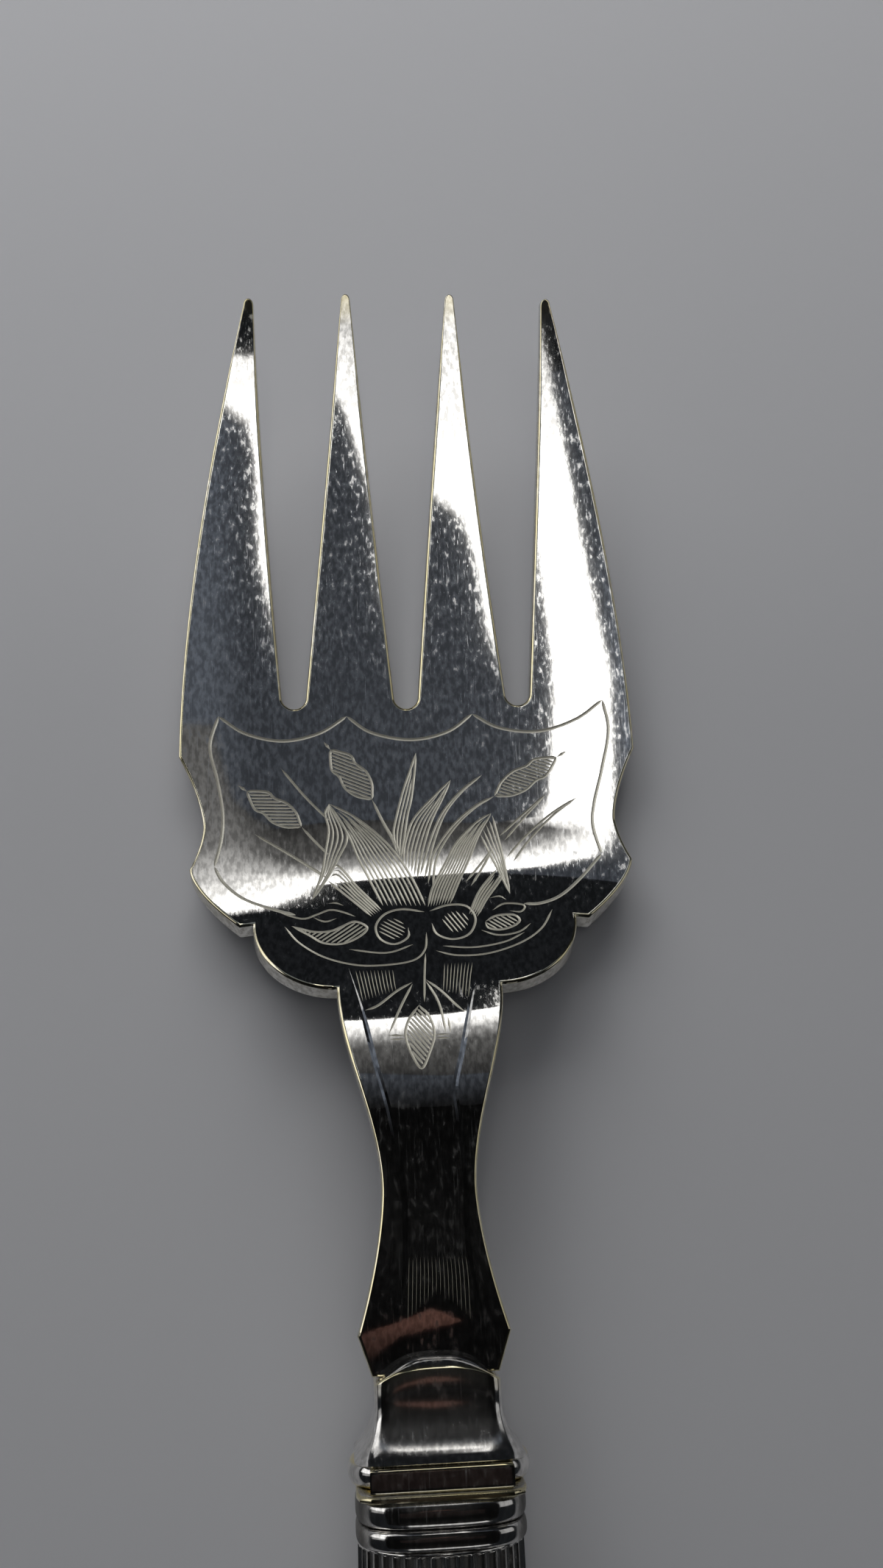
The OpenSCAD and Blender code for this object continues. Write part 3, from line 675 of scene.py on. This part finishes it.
def silver(name, colour, roughness, mottle):
    """Worn polished silver: hairline scratches, mottled fine pits, yellowed edges, tarnish in recesses, and
    painted shade where a piece marks it.
    """
    scratch_white, worn_yellow, tarnish_and_shade_black = (0.97, 0.97, 0.97), (0.86, 0.76, 0.44), (0.02, 0.016, 0.012)
    material, tree, shader, place = new_material(name)
    scratches = None
    for turn, scale in ((0.0, (4200, 110, 4200)), (0.6, (6500, 70, 2000)), (-0.9, (7000, 60, 2000))):
        lines = noise(tree, stretched(tree, place, scale, turn), 1.0, 3.0)
        hairlines = ramp(tree, lines, 0.65, 0.75, 0.0, 1.0)
        scratches = sums(tree, scratches, hairlines, "MAXIMUM") if scratches else hairlines
    speckle = noise(tree, stretched(tree, place, (1900, 900, 1900)), 1.0, 4.0)
    cloud = noise(tree, place, 140.0, 4.0)
    tarnish_and_shade = marked(tree, "tarnish_and_shade")
    yellowing = sums(tree, marked(tree, "edge_wear"), ramp(tree, cloud, 0.3, 0.6, 0.45, 1.0), "MULTIPLY")
    tone = blend(tree, ramp(tree, speckle, 0.4, 0.6, 0.0, 1.0), tuple(c * mottle for c in colour), colour)
    tone = blend(tree, ramp(tree, cloud, 0.35, 0.65, 0.0, 0.3), tone, tuple(c * 0.6 for c in colour))
    tone = blend(tree, scratches, tone, scratch_white)
    tone = blend(tree, yellowing, tone, worn_yellow)
    # This dark blend paints both the tarnish in recesses and painted shade on rim walls and ring sides.
    tone = blend(tree, tarnish_and_shade, tone, tarnish_and_shade_black)
    tree.links.new(ramp(tree, tarnish_and_shade, 0.3, 1.0, 1.0, 0.0), shader.inputs["Metallic"])
    tree.links.new(ramp(tree, tarnish_and_shade, 0.3, 1.0, 0.5, 0.05), shader.inputs["Specular IOR Level"])
    rough = sums(tree, ramp(tree, scratches, 0.0, 1.0, roughness, roughness + 0.08),
                 ramp(tree, speckle, 0.58, 0.72, 0.0, 0.1))
    rough = sums(tree, rough, ramp(tree, tarnish_and_shade, 0.0, 1.0, 0.0, 0.4))
    rough = sums(tree, rough, ramp(tree, marked(tree, "scuff"), 0.0, 1.0, 0.0, 0.1))
    tree.links.new(tone, shader.inputs["Base Color"])
    tree.links.new(rough, shader.inputs["Roughness"])
    bump(tree, shader, speckle, 0.035, 0.00002)
    return material


def grained(name, scale, detail, first, second, gloss, metallic=0.0):
    """A material whose colour and roughness follow one grain. Gloss is the ramp from grain to roughness."""
    material, tree, shader, place = new_material(name)
    shader.inputs["Metallic"].default_value = metallic
    grain = noise(tree, place, scale, detail)
    tree.links.new(blend(tree, grain, first, second), shader.inputs["Base Color"])
    tree.links.new(ramp(tree, grain, *gloss), shader.inputs["Roughness"])
    return material, tree, shader, grain


def place_piece(name, mesh, node):
    """Puts a piece into the scene in place of its solid."""
    piece = bpy.data.objects.new(name, mesh)
    bpy.context.scene.collection.objects.link(piece)
    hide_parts(node)
    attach(piece, "root")


# Cut silver has gone grey: it is paler and duller than the polish round it
cut_pale, cut_grey = (0.80, 0.77, 0.66), (0.55, 0.53, 0.45)
graver_cut, _, _, _ = grained("graver_cut_silver", 900.0, 2.0, cut_pale, cut_grey, (0.0, 1.0, 0.3, 0.5), 0.5)
head_mesh.materials.append(silver("head_silver", (0.90, 0.89, 0.87), 0.035, 0.54))
head_mesh.materials.append(graver_cut)
place_piece("engraved_fork_head", head_mesh, "fork_head")

# Tang
# A tapered bar of forged steel that is brazed to the tongue and set in the handle's filler. It keeps the
# hammered grey skin of the forge, because it never shows.
steel_grey, scale_grey = (0.50, 0.49, 0.47), (0.24, 0.22, 0.21)
forged_steel, steel_tree, steel_shader, scale_patches = grained(
    "forged_tang_steel", 420.0, 5.0, steel_grey, scale_grey, (0.3, 0.7, 0.35, 0.7), 1.0)
bump(steel_tree, steel_shader, scale_patches, 0.3, 0.0002)


def dress_solid(node, material):
    """Gives its material to a solid that is shown as it is."""
    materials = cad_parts[node].data.materials
    materials.clear()
    materials.append(material)


dress_solid("tang", forged_steel)

# Bolster
# A cast block of silver, filed to shape and soldered over the shank's tongue. Its arched nose laps the shank,
# and its sides sweep out in a hollow curve to the collar.
bolster_half_w, bolster_half_d, bolster_len = 6.45, 4.5, 7.4
nose_arch, edge_arch, nose_round, nose_reach, nose_square = 2.0, 1.4, 0.9, 0.45, 10.0
flare_at, flare_bend, flare_half_w, flare_half_d = 2.2, 0.7, 8.6, 6.5
flare_square = 8.0
end_bevel = 0.15
scuff_from, scuff_to, scuff_fade = 0.25, 0.7, 0.2
crease = math.radians(38)

fall = math.radians(handle_fall)
neck_y, neck_z, _ = spine(-neck_at)
to_middle = plate_t / 2
down_to_middle = Vector((0, to_middle * math.sin(fall), -to_middle * math.cos(fall)))
neck_place = bowl_place + (Vector((0, neck_y, neck_z)) + down_to_middle)
handle_turn = Matrix.Rotation(math.pi / 2 + fall, 3, "X")


def oval(half_w, half_d, square, count=200):
    """Points round an oval of a chosen squareness, from its right side over its face side."""
    ring = []
    for k in range(count):
        across, up = math.cos(math.tau * (k + 0.5) / count), math.sin(math.tau * (k + 0.5) / count)
        reach = ((abs(across) / half_w) ** square + (abs(up) / half_d) ** square) ** (-1 / square)
        ring.append((across * reach, up * reach))
    return ring


def section(place, half_w, half_d, square, arch=0.0):
    """An oval across the handle at a place along it. An arch pushes its middle towards the tines."""
    return [(x, y, place - arch * (1 - abs(x / half_w) ** 3)) for x, y in oval(half_w, half_d, square)]


def bored(ring, half_w, half_d, square=8.0):
    """The same ring drawn in to an opening."""
    drawn = []
    for x, y, z in ring:
        share = ((abs(x) / half_w) ** square + (abs(y) / half_d) ** square) ** (-1 / square)
        drawn.append((x * share, y * share, z))
    return drawn


def add_loft(name, node, material, rings, tarnish_and_shade, wear=None, scuff=None, hole=None):
    """Adds a piece through rings of points along the handle, with its tarnish and painted shade, wear and
    scuff from 0 to 1 at each ring.

    It has flat ends, or a hole right through: half width, half depth and, if need be, squareness."""
    wear, scuff = wear or [0.0] * len(rings), scuff or [0.0] * len(rings)
    if hole:
        rings = rings + [bored(rings[-1], *hole), bored(rings[0], *hole)]
        tarnish_and_shade, wear, scuff = tarnish_and_shade + [1.0, 1.0], wear + [0.0, 0.0], scuff + [0.0, 0.0]
    count, last = len(rings[0]), len(rings) - 1
    points = [(neck_place + handle_turn @ Vector(p)) * mm for ring in rings for p in ring]
    quads = []
    for i in range(last + 1 if hole else last):
        for k in range(count):
            here, there, beside = i * count, (i + 1) % (last + 1) * count, (k + 1) % count
            quads.append((here + k, here + beside, there + beside, there + k))
    if not hole:
        for k in range(count // 2 - 1):
            across = count - 1 - k
            near, far = last * count + k, last * count + across
            quads.append((k, across, across - 1, k + 1))
            quads.append((near, near + 1, far - 1, far))
    mesh = bpy.data.meshes.new(name)
    mesh.from_pydata([tuple(p) for p in points], [], quads)
    mesh.update()
    mesh.polygons.foreach_set("use_smooth", [True] * len(quads))
    mesh.set_sharp_from_angle(angle=crease)
    for finish, rows in (("tarnish_and_shade", tarnish_and_shade), ("edge_wear", wear), ("scuff", scuff)):
        mark(mesh, finish, [v for row in rows for v in (row if isinstance(row, list) else [row] * count)])
    mesh.materials.append(material)
    place_piece(name, mesh, node)


def flare_rise(t):
    """Growth of the flare from 0 to 1, as a stretch of an ellipse."""
    return (1 - math.sqrt(1 - flare_bend * t * t)) / (1 - math.sqrt(1 - flare_bend))


bolster_rings, bolster_scuff = [], []
bolster_wear = [0.0, 0.0, 0.0, 0.0, 0.4, 0.9, 1.0, 0.9, 0.3]
for a in [math.pi / 2 * t for t in [0] + steps(len(bolster_wear) - 1)]:
    set_in = nose_round * (1 - math.sin(a))
    along = nose_reach * (1 - math.cos(a))
    arch = mix(nose_arch, edge_arch, math.sin(a))
    bolster_rings.append(section(along, bolster_half_w - set_in, bolster_half_d - set_in, nose_square, arch))
    bolster_scuff.append(0.0)
for t in [0] + steps(28):
    rise = flare_rise(t)
    along = mix(flare_at, bolster_len - end_bevel, t)
    half_w, half_d = mix(bolster_half_w, flare_half_w, rise), mix(bolster_half_d, flare_half_d, rise)
    arch = edge_arch * (1 - t) ** 3
    bolster_rings.append(section(along, half_w, half_d, mix(nose_square, flare_square, t), arch))
    scuffed, cleared = limit((t - scuff_from) / scuff_fade), limit((t - scuff_to) / scuff_fade)
    bolster_scuff.append(ease(scuffed) * (1 - ease(cleared)))
bolster_rings.append(section(bolster_len, flare_half_w - end_bevel, flare_half_d - end_bevel, flare_square))
bolster_scuff.append(0.0)
bolster_tarnish = [0.25] + [0.0] * (len(bolster_rings) - 2) + [0.4]
bolster_wear += [0.0] * (len(bolster_rings) - len(bolster_wear))
mount_silver = silver("mount_silver", (0.88, 0.86, 0.83), 0.09, 0.66)
add_loft("bolster_block", "bolster", mount_silver, bolster_rings, bolster_tarnish,
         bolster_wear, bolster_scuff)

# Plinth collar
# A cast silver collar between bolster and rings: a block with a flat panel on the face and on the back, a
# rounded boss at each side and a narrow fillet behind. It is threaded over the tang and soldered to the
# bolster.
collar_len, collar_half_w, collar_half_d = 3.2, 9.3, 6.7
panel_half_w, panel_bevel = 7.1, 0.45
boss_half_d, boss_square, collar_bulge = 5.6, 2.6, 0.8
fillet_len, fillet_proud, fillet_round, fillet_dark = 0.7, 0.12, 0.35, 0.6
tang_w, slot_gap = 6.0, 0.1
tang_slot = (tang_w / 2 + slot_gap, plate_t / 2 + slot_gap)
collar_at = bolster_len + solder_gap
panel_len = collar_len - fillet_len


def panelled(place, half_w, half_d, bevel):
    """A section of the collar: flat panels with bevelled edges, and a boss at each side."""
    foot = half_d * (1 - (panel_half_w / half_w) ** boss_square) ** (1 / boss_square)
    corner = math.asin((foot / half_d) ** (boss_square / 2))
    boss = [(half_w * math.cos(a) ** (2 / boss_square), half_d * math.sin(a) ** (2 / boss_square))
            for a in (corner * t for t in [1 / 80] + steps(24))]
    edge = (panel_half_w - bevel, collar_half_d - bevel)
    wall = [(edge[0], mix(foot, edge[1], t)) for t in (0.02, 0.5, 0.98)]
    face = [(edge[0] * mix(1, -1, t), edge[1]) for t in [0.01] + steps(16)[:-1] + [0.99]]
    upper = boss + wall + face + [(-x, y) for x, y in reversed(boss + wall)]
    return [(x, y, place) for x, y in upper] + [(x, -y, place) for x, y in reversed(upper)]


collar_rings, collar_tarnish, collar_wear = [], [], []
for along in [panel_len * (1 - math.cos(math.pi * t)) / 2 for t in [0] + steps(24)]:
    swell = collar_bulge * (math.sqrt(1 - (2 * along / panel_len - 1) ** 2) - 1)
    turn = limit(1 - min(along, panel_len - along) / panel_bevel)
    bevel = panel_bevel * (1 - math.sqrt(1 - turn * turn))
    collar_rings.append(panelled(collar_at + along, collar_half_w + swell, boss_half_d + swell, bevel))
    collar_tarnish.append(0.0)
    collar_wear.append(limit(2 * turn))
fillet_half_w, fillet_half_d = collar_half_w - collar_bulge, collar_half_d + fillet_proud
fillet_edge = []
for a in [math.pi / 2 * t for t in [0] + steps(5)]:
    bevel = fillet_round * (1 - math.sin(a))
    fillet_edge.append((panel_len + fillet_round * (1 - math.cos(a)), bevel, fillet_dark * math.cos(a)))
fillet_edge += [(collar_len - end_bevel, 0.0, 0.1), (collar_len, end_bevel, 0.3)]
for along, bevel, dark in fillet_edge:
    ring = bored(collar_rings[0], fillet_half_w - bevel, fillet_half_d - bevel, flare_square)
    collar_rings.append([(x, y, collar_at + along) for x, y, _ in ring])
    collar_tarnish.append(dark)
    collar_wear.append(1.0 if dark < 0.5 else 0.0)
add_loft("plinth_collar_casting", "plinth_collar", mount_silver, collar_rings, collar_tarnish,
         collar_wear, hole=tang_slot)

# Neck rings
# Two half-round silver rings, turned to the handle's oval and soldered one behind the other. Polish has not
# reached the dark valleys between them. Their sides are painted dark, a painted reflection of dark
# surroundings, and the upper ring's front slope is painted dark as painted shade that takes the lamp's
# highlight off it.
upper_ring_len, lower_ring_len = 2.5, 2.0
ring_half_w, ring_half_d, ring_round = 8.6, 6.8, 0.8
ring_full, ring_square, round_square = 2.8, 3.2, 2.0
# The last of these is the strength of painted shade down a ring's sides, standing in for the dark
# surroundings that they mirror; the first two give where it starts and where it is full.
side_from, side_to, ring_side_shade = 0.78, 0.95, 0.85
valley_dark, valley_polish = 0.9, 4.0
upper_ring_at = collar_at + collar_len + solder_gap
lower_ring_at = upper_ring_at + upper_ring_len + solder_gap


def half_round(place, length, half_w, half_d, swell, square, front_dark_fall=valley_polish):
    """Rings and darkness of a full half-round moulding: tarnish in its valleys, painted shade down its sides.
    """
    shape, dark = [], []
    for a in [math.pi * t for t in [0] + steps(28)]:
        rise = swell * ((1 - abs(math.cos(a)) ** ring_full) ** (1 / ring_full) - 1)
        shape.append(section(place + length * (1 - math.cos(a)) / 2, half_w + rise, half_d + rise, square))
        # A slow fall of the dark on the front slope paints shade over that slope.
        valley = valley_dark * limit(1 - (front_dark_fall if math.cos(a) > 0 else valley_polish) * math.sin(a))
        to_side = [limit((abs(x) / half_w - side_from) / (side_to - side_from)) for x, _, _ in shape[-1]]
        # Painted shade down the sides.
        dark.append([max(valley, ring_side_shade * ease(t)) for t in to_side])
    return shape, dark


# The upper ring's slow front fall paints shade over its front slope, which takes the lamp's highlight off it.
for name, node, place, length, front_dark_fall in (
    ("upper_neck_ring", "neck_ring_upper", upper_ring_at, upper_ring_len, 1.15),
    ("lower_neck_ring", "neck_ring_lower", lower_ring_at, lower_ring_len, valley_polish),
):
    ring_shape, ring_tarnish_and_shade = half_round(place, length, ring_half_w, ring_half_d, ring_round, ring_square,
                                          front_dark_fall)
    add_loft(name, node, mount_silver, ring_shape, ring_tarnish_and_shade, hole=tang_slot)

# Handle shells
# The hollow handle is two halves of thin silver sheet, struck with flutes in a die and soldered along both
# sides. The flutes start right behind a rounded lip at the rings, and tarnish stays in them.
shaft_len, shaft_growth = 86.0, 1.1
shaft_half_w, shaft_half_d = 8.4, 6.5
flutes, flute_depth, flute_power, flute_points = 40, 0.3, 2.5, 10
lip_round, flute_fade, flute_dark = 0.3, 0.25, 0.34
lip_step, lip_steps, past_lip = 0.06, 11, 0.65
shell_t = 0.8
shaft_at = lower_ring_at + lower_ring_len + solder_gap
shell_gap = solder_gap / 2


def shell_ring(along):
    """One section of a handle half: its fluted outside and back along its smooth inside, with the tarnish."""
    grow = mix(1, shaft_growth, along / shaft_len)
    to_end = min(along, shaft_len - along)
    lip = lip_round * (1 - math.sqrt(1 - limit(1 - to_end / lip_round) ** 2))
    start = ease(limit((to_end - lip_round) / flute_fade))
    outside, inside_wall, dark = [], [], []
    for i in range(flutes // 2 * flute_points + 1):
        a = math.tau * i / (flutes * flute_points)
        off_middle = abs(2 * (i % flute_points) / flute_points - 1)
        share = start * (1 - off_middle ** flute_power)
        for wall, depth in ((outside, lip + flute_depth * share), (inside_wall, shell_t)):
            x, y = (shaft_half_w - depth) * math.cos(a), (shaft_half_d - depth) * math.sin(a)
            wall.append((x * grow, max(shell_gap, y * grow), shaft_at + along))
        dark.append(flute_dark * share)
    return outside + inside_wall[::-1], dark + [1.0] * len(dark)


shell_places = [lip_step * i for i in range(lip_steps)]
shell_places += [mix(past_lip, shaft_len / 2, t ** 2) for t in steps(12)]
shell_places += [shaft_len - p for p in reversed(shell_places[:-1])]
shell_rings, shell_tarnish = zip(*(shell_ring(p) for p in shell_places))
handle_silver = silver("handle_silver", (0.88, 0.86, 0.82), 0.1, 0.8)
for name, node, way in (
    ("handle_front_half", "handle_front_shell", 1),
    ("handle_back_half", "handle_back_shell", -1),
):
    turned = [[(way * x, way * y, z) for x, y, z in ring] for ring in shell_rings]
    add_loft(name, node, handle_silver, turned, shell_tarnish)

# Handle filler
# Pitch and resin, poured hot into the closed shells round the tang, which it holds once it has set. It is
# dark brown, with a dull broken gloss.
pitch_brown, resin_brown = (0.05, 0.032, 0.02), (0.17, 0.11, 0.065)
set_pitch, _, _, _ = grained("set_pitch", 700.0, 4.0, pitch_brown, resin_brown, (0.3, 0.7, 0.35, 0.75))
dress_solid("handle_filler", set_pitch)

# Butt ring
# A half-round silver ring, turned to the oval of the handle's end. It is soldered to the shells as a rim that
# holds the cap.
butt_ring_len, butt_ring_proud, butt_ring_round = 2.6, 0.6, 0.9
butt_ring_at = shaft_at + shaft_len + solder_gap
butt_half_w = shaft_half_w * shaft_growth + butt_ring_proud
butt_half_d = shaft_half_d * shaft_growth + butt_ring_proud
butt_hole = (butt_half_w - butt_ring_proud - shell_t, butt_half_d - butt_ring_proud - shell_t)
# Its sides get the same painted shade as the neck rings.
butt_shape, butt_tarnish_and_shade = half_round(butt_ring_at, butt_ring_len, butt_half_w, butt_half_d, butt_ring_round,
                                      round_square)
add_loft("butt_end_ring", "butt_ring", mount_silver, butt_shape, butt_tarnish_and_shade,
         hole=(*butt_hole, round_square))

# Butt cap
# A domed cap, raised from silver sheet, that closes the handle. Its spigot is pushed into the butt ring and
# soldered there.
cap_len, cap_inset, spigot_len = 6.0, 0.7, 2.0
dome_turn = math.radians(88)
cap_at = butt_ring_at + butt_ring_len + solder_gap
spigot_half_w, spigot_half_d = butt_hole[0] - solder_gap, butt_hole[1] - solder_gap
cap_shape = [section(cap_at + h, spigot_half_w, spigot_half_d, round_square) for h in (-spigot_len, 0)]
cap_tarnish = [1.0, 0.9]
for a in [dome_turn * t for t in [0] + steps(26)]:
    cap_shape.append(section(cap_at + cap_len * math.sin(a), (butt_half_w - cap_inset) * math.cos(a),
                             (butt_half_d - cap_inset) * math.cos(a), round_square))
    cap_tarnish.append(0.8 * limit(1 - 6 * a))
add_loft("domed_butt_cap", "butt_cap", mount_silver, cap_shape, cap_tarnish)

# Table
# A plain pale table top under the fork, painted and matt. It isn't part of the fork: it carries the shadows
# and shows in the silver.
table_size = 3.0
bpy.ops.mesh.primitive_plane_add(size=table_size, location=(0, 0, 0))
table = bpy.context.object
table.name = "table"
table_top, table_tree, table_shader, table_place = new_material("pale_table")
table_clouds = noise(table_tree, table_place, 6.0)
table_tone = blend(table_tree, table_clouds, (0.60, 0.60, 0.62), (0.64, 0.64, 0.655))
table_tree.links.new(table_tone, table_shader.inputs["Base Color"])
table_shader.inputs["Roughness"].default_value = 0.9
table.data.materials.append(table_top)

# Lights
# Studio light: a long curved lamp overhead, mirrored by the silver from the tines to the shoulder, a dim
# ceiling, soft lights over the table, and others at the sides and behind for the rims and the handle. A dark
# card with a soft front edge and a brown patch hangs over the handle and shows only in the silver.
lamp_height, ceiling_height = 0.6, 0.62
lamp_glow, window_from, wing_from = 2.6, 350, 800
strip_soft, dim_until, bright_from, dim_glow = 8.0, -60.0, -10.0, 0.32
window_fade = ((0.0, 1.0), (0.18, 0.6), (0.32, 0.18), (0.5, 0.045), (1.0, 0.012))
wing_fade = ((0.0, 1.0), (0.2, 0.65), (0.38, 0.3), (0.55, 0.085), (0.75, 0.047))
# The lamp row by row, in millimetres from the frame's middle: first the strip that the tines mirror, from
# right to left, with a row's place across, its far end and its near end
strip_rows = (
    (150, -42, -14), (141, -42, -12), (121, -42, 2), (116, -42, 22), (113, -42, 85), (98, -42, 150),
    (90, -42, -22), (84, -100, -26), (76, -100, -24), (63, -100, -13), (55, -100, 12), (48, -100, 32),
    (44, -100, 50), (41, -100, 95), (27, -100, 150), (21, -100, 30), (14, -100, 34), (4, -100, 43),
    (-8, -100, 52), (-15, -95, 72), (-22, -90, 125), (-36, -84, 160), (-44, -80, 40), (-52, -75, 60),
)
# Then the far and near ends of the rows that show in the bowl's heel and the shoulder
window_rows = (
    ((-62, -62), (-57, 140)), ((-71, 0), (-56, 165)), ((-79, 70), (-53, 195)), ((-89, 150), (-47, 240)),
    ((-82, 295), (-38, 300)), ((-68, 375), (-20, 320)), ((-45, 480), (0, 320)), ((-18, 560), (25, 310)),
    ((8, 612), (45, 300)), ((35, 640), (65, 300)), ((60, 660), (85, 310)), ((84, 685), (108, 330)),
    ((94, 900), (158, -60)), ((120, 910), (184, -60)),
)
lamp_edges = [((x, far), (x, near)) for x, far, near in strip_rows] + list(window_rows)
# The ceiling's glow at places from left to right
ceiling_glow = ((-420, 0.19), (-100, 0.19), (-90, 0.075), (126, 0.065), (150, 0.14), (450, 0.14))
ceiling_ends = (-40, 640)


def glowing_sheet(name, rows, colour, height, strength):
    """A level sheet of light through rows of (x, y, glow), hidden from the camera."""
    points = [(x * mm, y * mm, height) for row in rows for x, y, _ in row]
    count = len(rows[0])
    quads = [(i * count + k, i * count + k + 1, (i + 1) * count + k + 1, (i + 1) * count + k)
             for i in range(len(rows) - 1) for k in range(count - 1)]
    mesh = bpy.data.meshes.new(name)
    mesh.from_pydata(points, [], quads)
    mark(mesh, "glow", [glow for row in rows for _, _, glow in row])
    material, tree, shader, _ = new_material(name)
    shader.inputs["Base Color"].default_value = (0, 0, 0, 1)
    shader.inputs["Emission Color"].default_value = (*colour, 1)
    glow = ramp(tree, marked(tree, "glow"), 0.0, 1.0, 0.0, strength)
    tree.links.new(glow, shader.inputs["Emission Strength"])
    mesh.materials.append(material)
    sheet = bpy.data.objects.new(name, mesh)
    sheet.visible_camera = sheet.visible_shadow = False
    bpy.context.scene.collection.objects.link(sheet)


lamp_rows = []
for far, near in lamp_edges:
    soft = strip_soft / math.dist(far, near)
    fade = ((0.0, 1.0), (0.4, 1.0), (1 - soft, 1.0), (1 - soft / 2, 0.4), (1.0, 0.0))
    if far[1] > window_from:
        fade = wing_fade if far[1] > wing_from else window_fade
    lamp_rows.append([])
    for t, share in fade:
        x, y = mix(far[0], near[0], t), mix(far[1], near[1], t)
        glow = mix(dim_glow, 1.0, limit((y - dim_until) / (bright_from - dim_until)))
        lamp_rows[-1].append((x, y, share * glow))
glowing_sheet("curved_lamp", lamp_rows, (1.0, 0.99, 0.97), lamp_height, lamp_glow)
ceiling_rows = [[(x, y, glow) for x, glow in ceiling_glow] for y in ceiling_ends]
glowing_sheet("dim_ceiling", ceiling_rows, (0.72, 0.82, 1.0), ceiling_height, 1.0)

light_aim, light_size = Vector((0, 0.05, 0)), 0.5
for name, place, glow, on_table, mirrored in (
    ("soft_light", Vector((-0.42, 0.62, 0.55)), 0.6, True, True),
    ("table_light", Vector((-0.1, 0.50, 0.22)), 2.4, True, False),
    ("rim_light", Vector((-0.5, 0.26, 0.3)), 0.9, False, True),
    ("handle_light", Vector((0.1, -0.7, 0.6)), 0.6, False, True),
    ("right_light", Vector((0.7, 0.13, 0.4)), 0.35, False, True),
    ("left_light", Vector((-0.7, 0.13, 0.4)), 0.35, False, True),
):
    light_data = bpy.data.lights.new(name, "AREA")
    light_data.size = light_size
    light_data.energy = glow * light_size ** 2 * math.pi
    light = bpy.data.objects.new(name, light_data)
    light.location = place
    light.rotation_euler = (light_aim - place).to_track_quat("-Z", "Y").to_euler()
    light.visible_camera = False
    light.visible_diffuse = on_table
    light.visible_glossy = mirrored
    bpy.context.scene.collection.objects.link(light)

card_front, card_back, card_half_w, card_height = 0.049, -0.14, 0.1, 0.12
card_corners = ((-1, card_back), (1, card_back), (1, card_front), (-1, card_front))
card_mesh = bpy.data.meshes.new("dark_card")
card_mesh.from_pydata([(way * card_half_w, y, card_height) for way, y in card_corners], [], [(0, 1, 2, 3)])
card = bpy.data.objects.new("dark_card", card_mesh)
bpy.context.scene.collection.objects.link(card)
card.visible_camera = card.visible_diffuse = card.visible_shadow = False
card_black, _, card_shader, _ = new_material("dark_card")
card_shader.inputs["Base Color"].default_value = (0.002, 0.002, 0.002, 1)
card_shader.inputs["Roughness"].default_value = 1.0
card_shader.inputs["Specular IOR Level"].default_value = 0.0
card_shader.inputs["Emission Color"].default_value = (1, 1, 1, 1)
card_shader.inputs["Emission Strength"].default_value = 0.003
card_mesh.materials.append(card_black)
# Rows of the brown patch from the handle to the shank: place along, left end, right end and glow
brown_patch = (
    (-54, -40, 45, 0.0), (-46, -40, 45, 0.1), (-44, -40, 45, 0.02), (-41, -40, 45, 0.12), (-37, -40, 45, 0.1),
    (-36, -40, 45, 0.0), (-30, -12, -5, 0.0), (-28.5, -11, -4, 0.4), (-26, -8, 0, 0.6), (-24.5, -4, 8, 0.9),
    (-23.5, -1, 10.5, 1.0), (-20, 4.5, 6, 1.0), (-19, 5, 5.6, 0.0),
)
brown_rows = [[(left, y, glow), (right, y, glow)] for y, left, right, glow in brown_patch]
glowing_sheet("brown_card", brown_rows, (0.085, 0.04, 0.03), card_height - mm, 1.0)

card_fade = ((0.0475, 0.0), (0.054, 0.012), (0.061, 0.03), (0.07, 0.06))
fade_rows = [[(-card_half_w / mm, y / mm, glow), (card_half_w / mm, y / mm, glow)] for y, glow in card_fade]
glowing_sheet("card_soft_edge", fade_rows, (0.72, 0.82, 1.0), card_height - mm, 1.0)

room_tint, room_glow = (0.80, 0.88, 1.0, 1), 0.014
world = bpy.data.worlds.new("room")
bpy.context.scene.world = world
world.use_nodes = True
world.node_tree.nodes["Background"].inputs["Color"].default_value = room_tint
world.node_tree.nodes["Background"].inputs["Strength"].default_value = room_glow
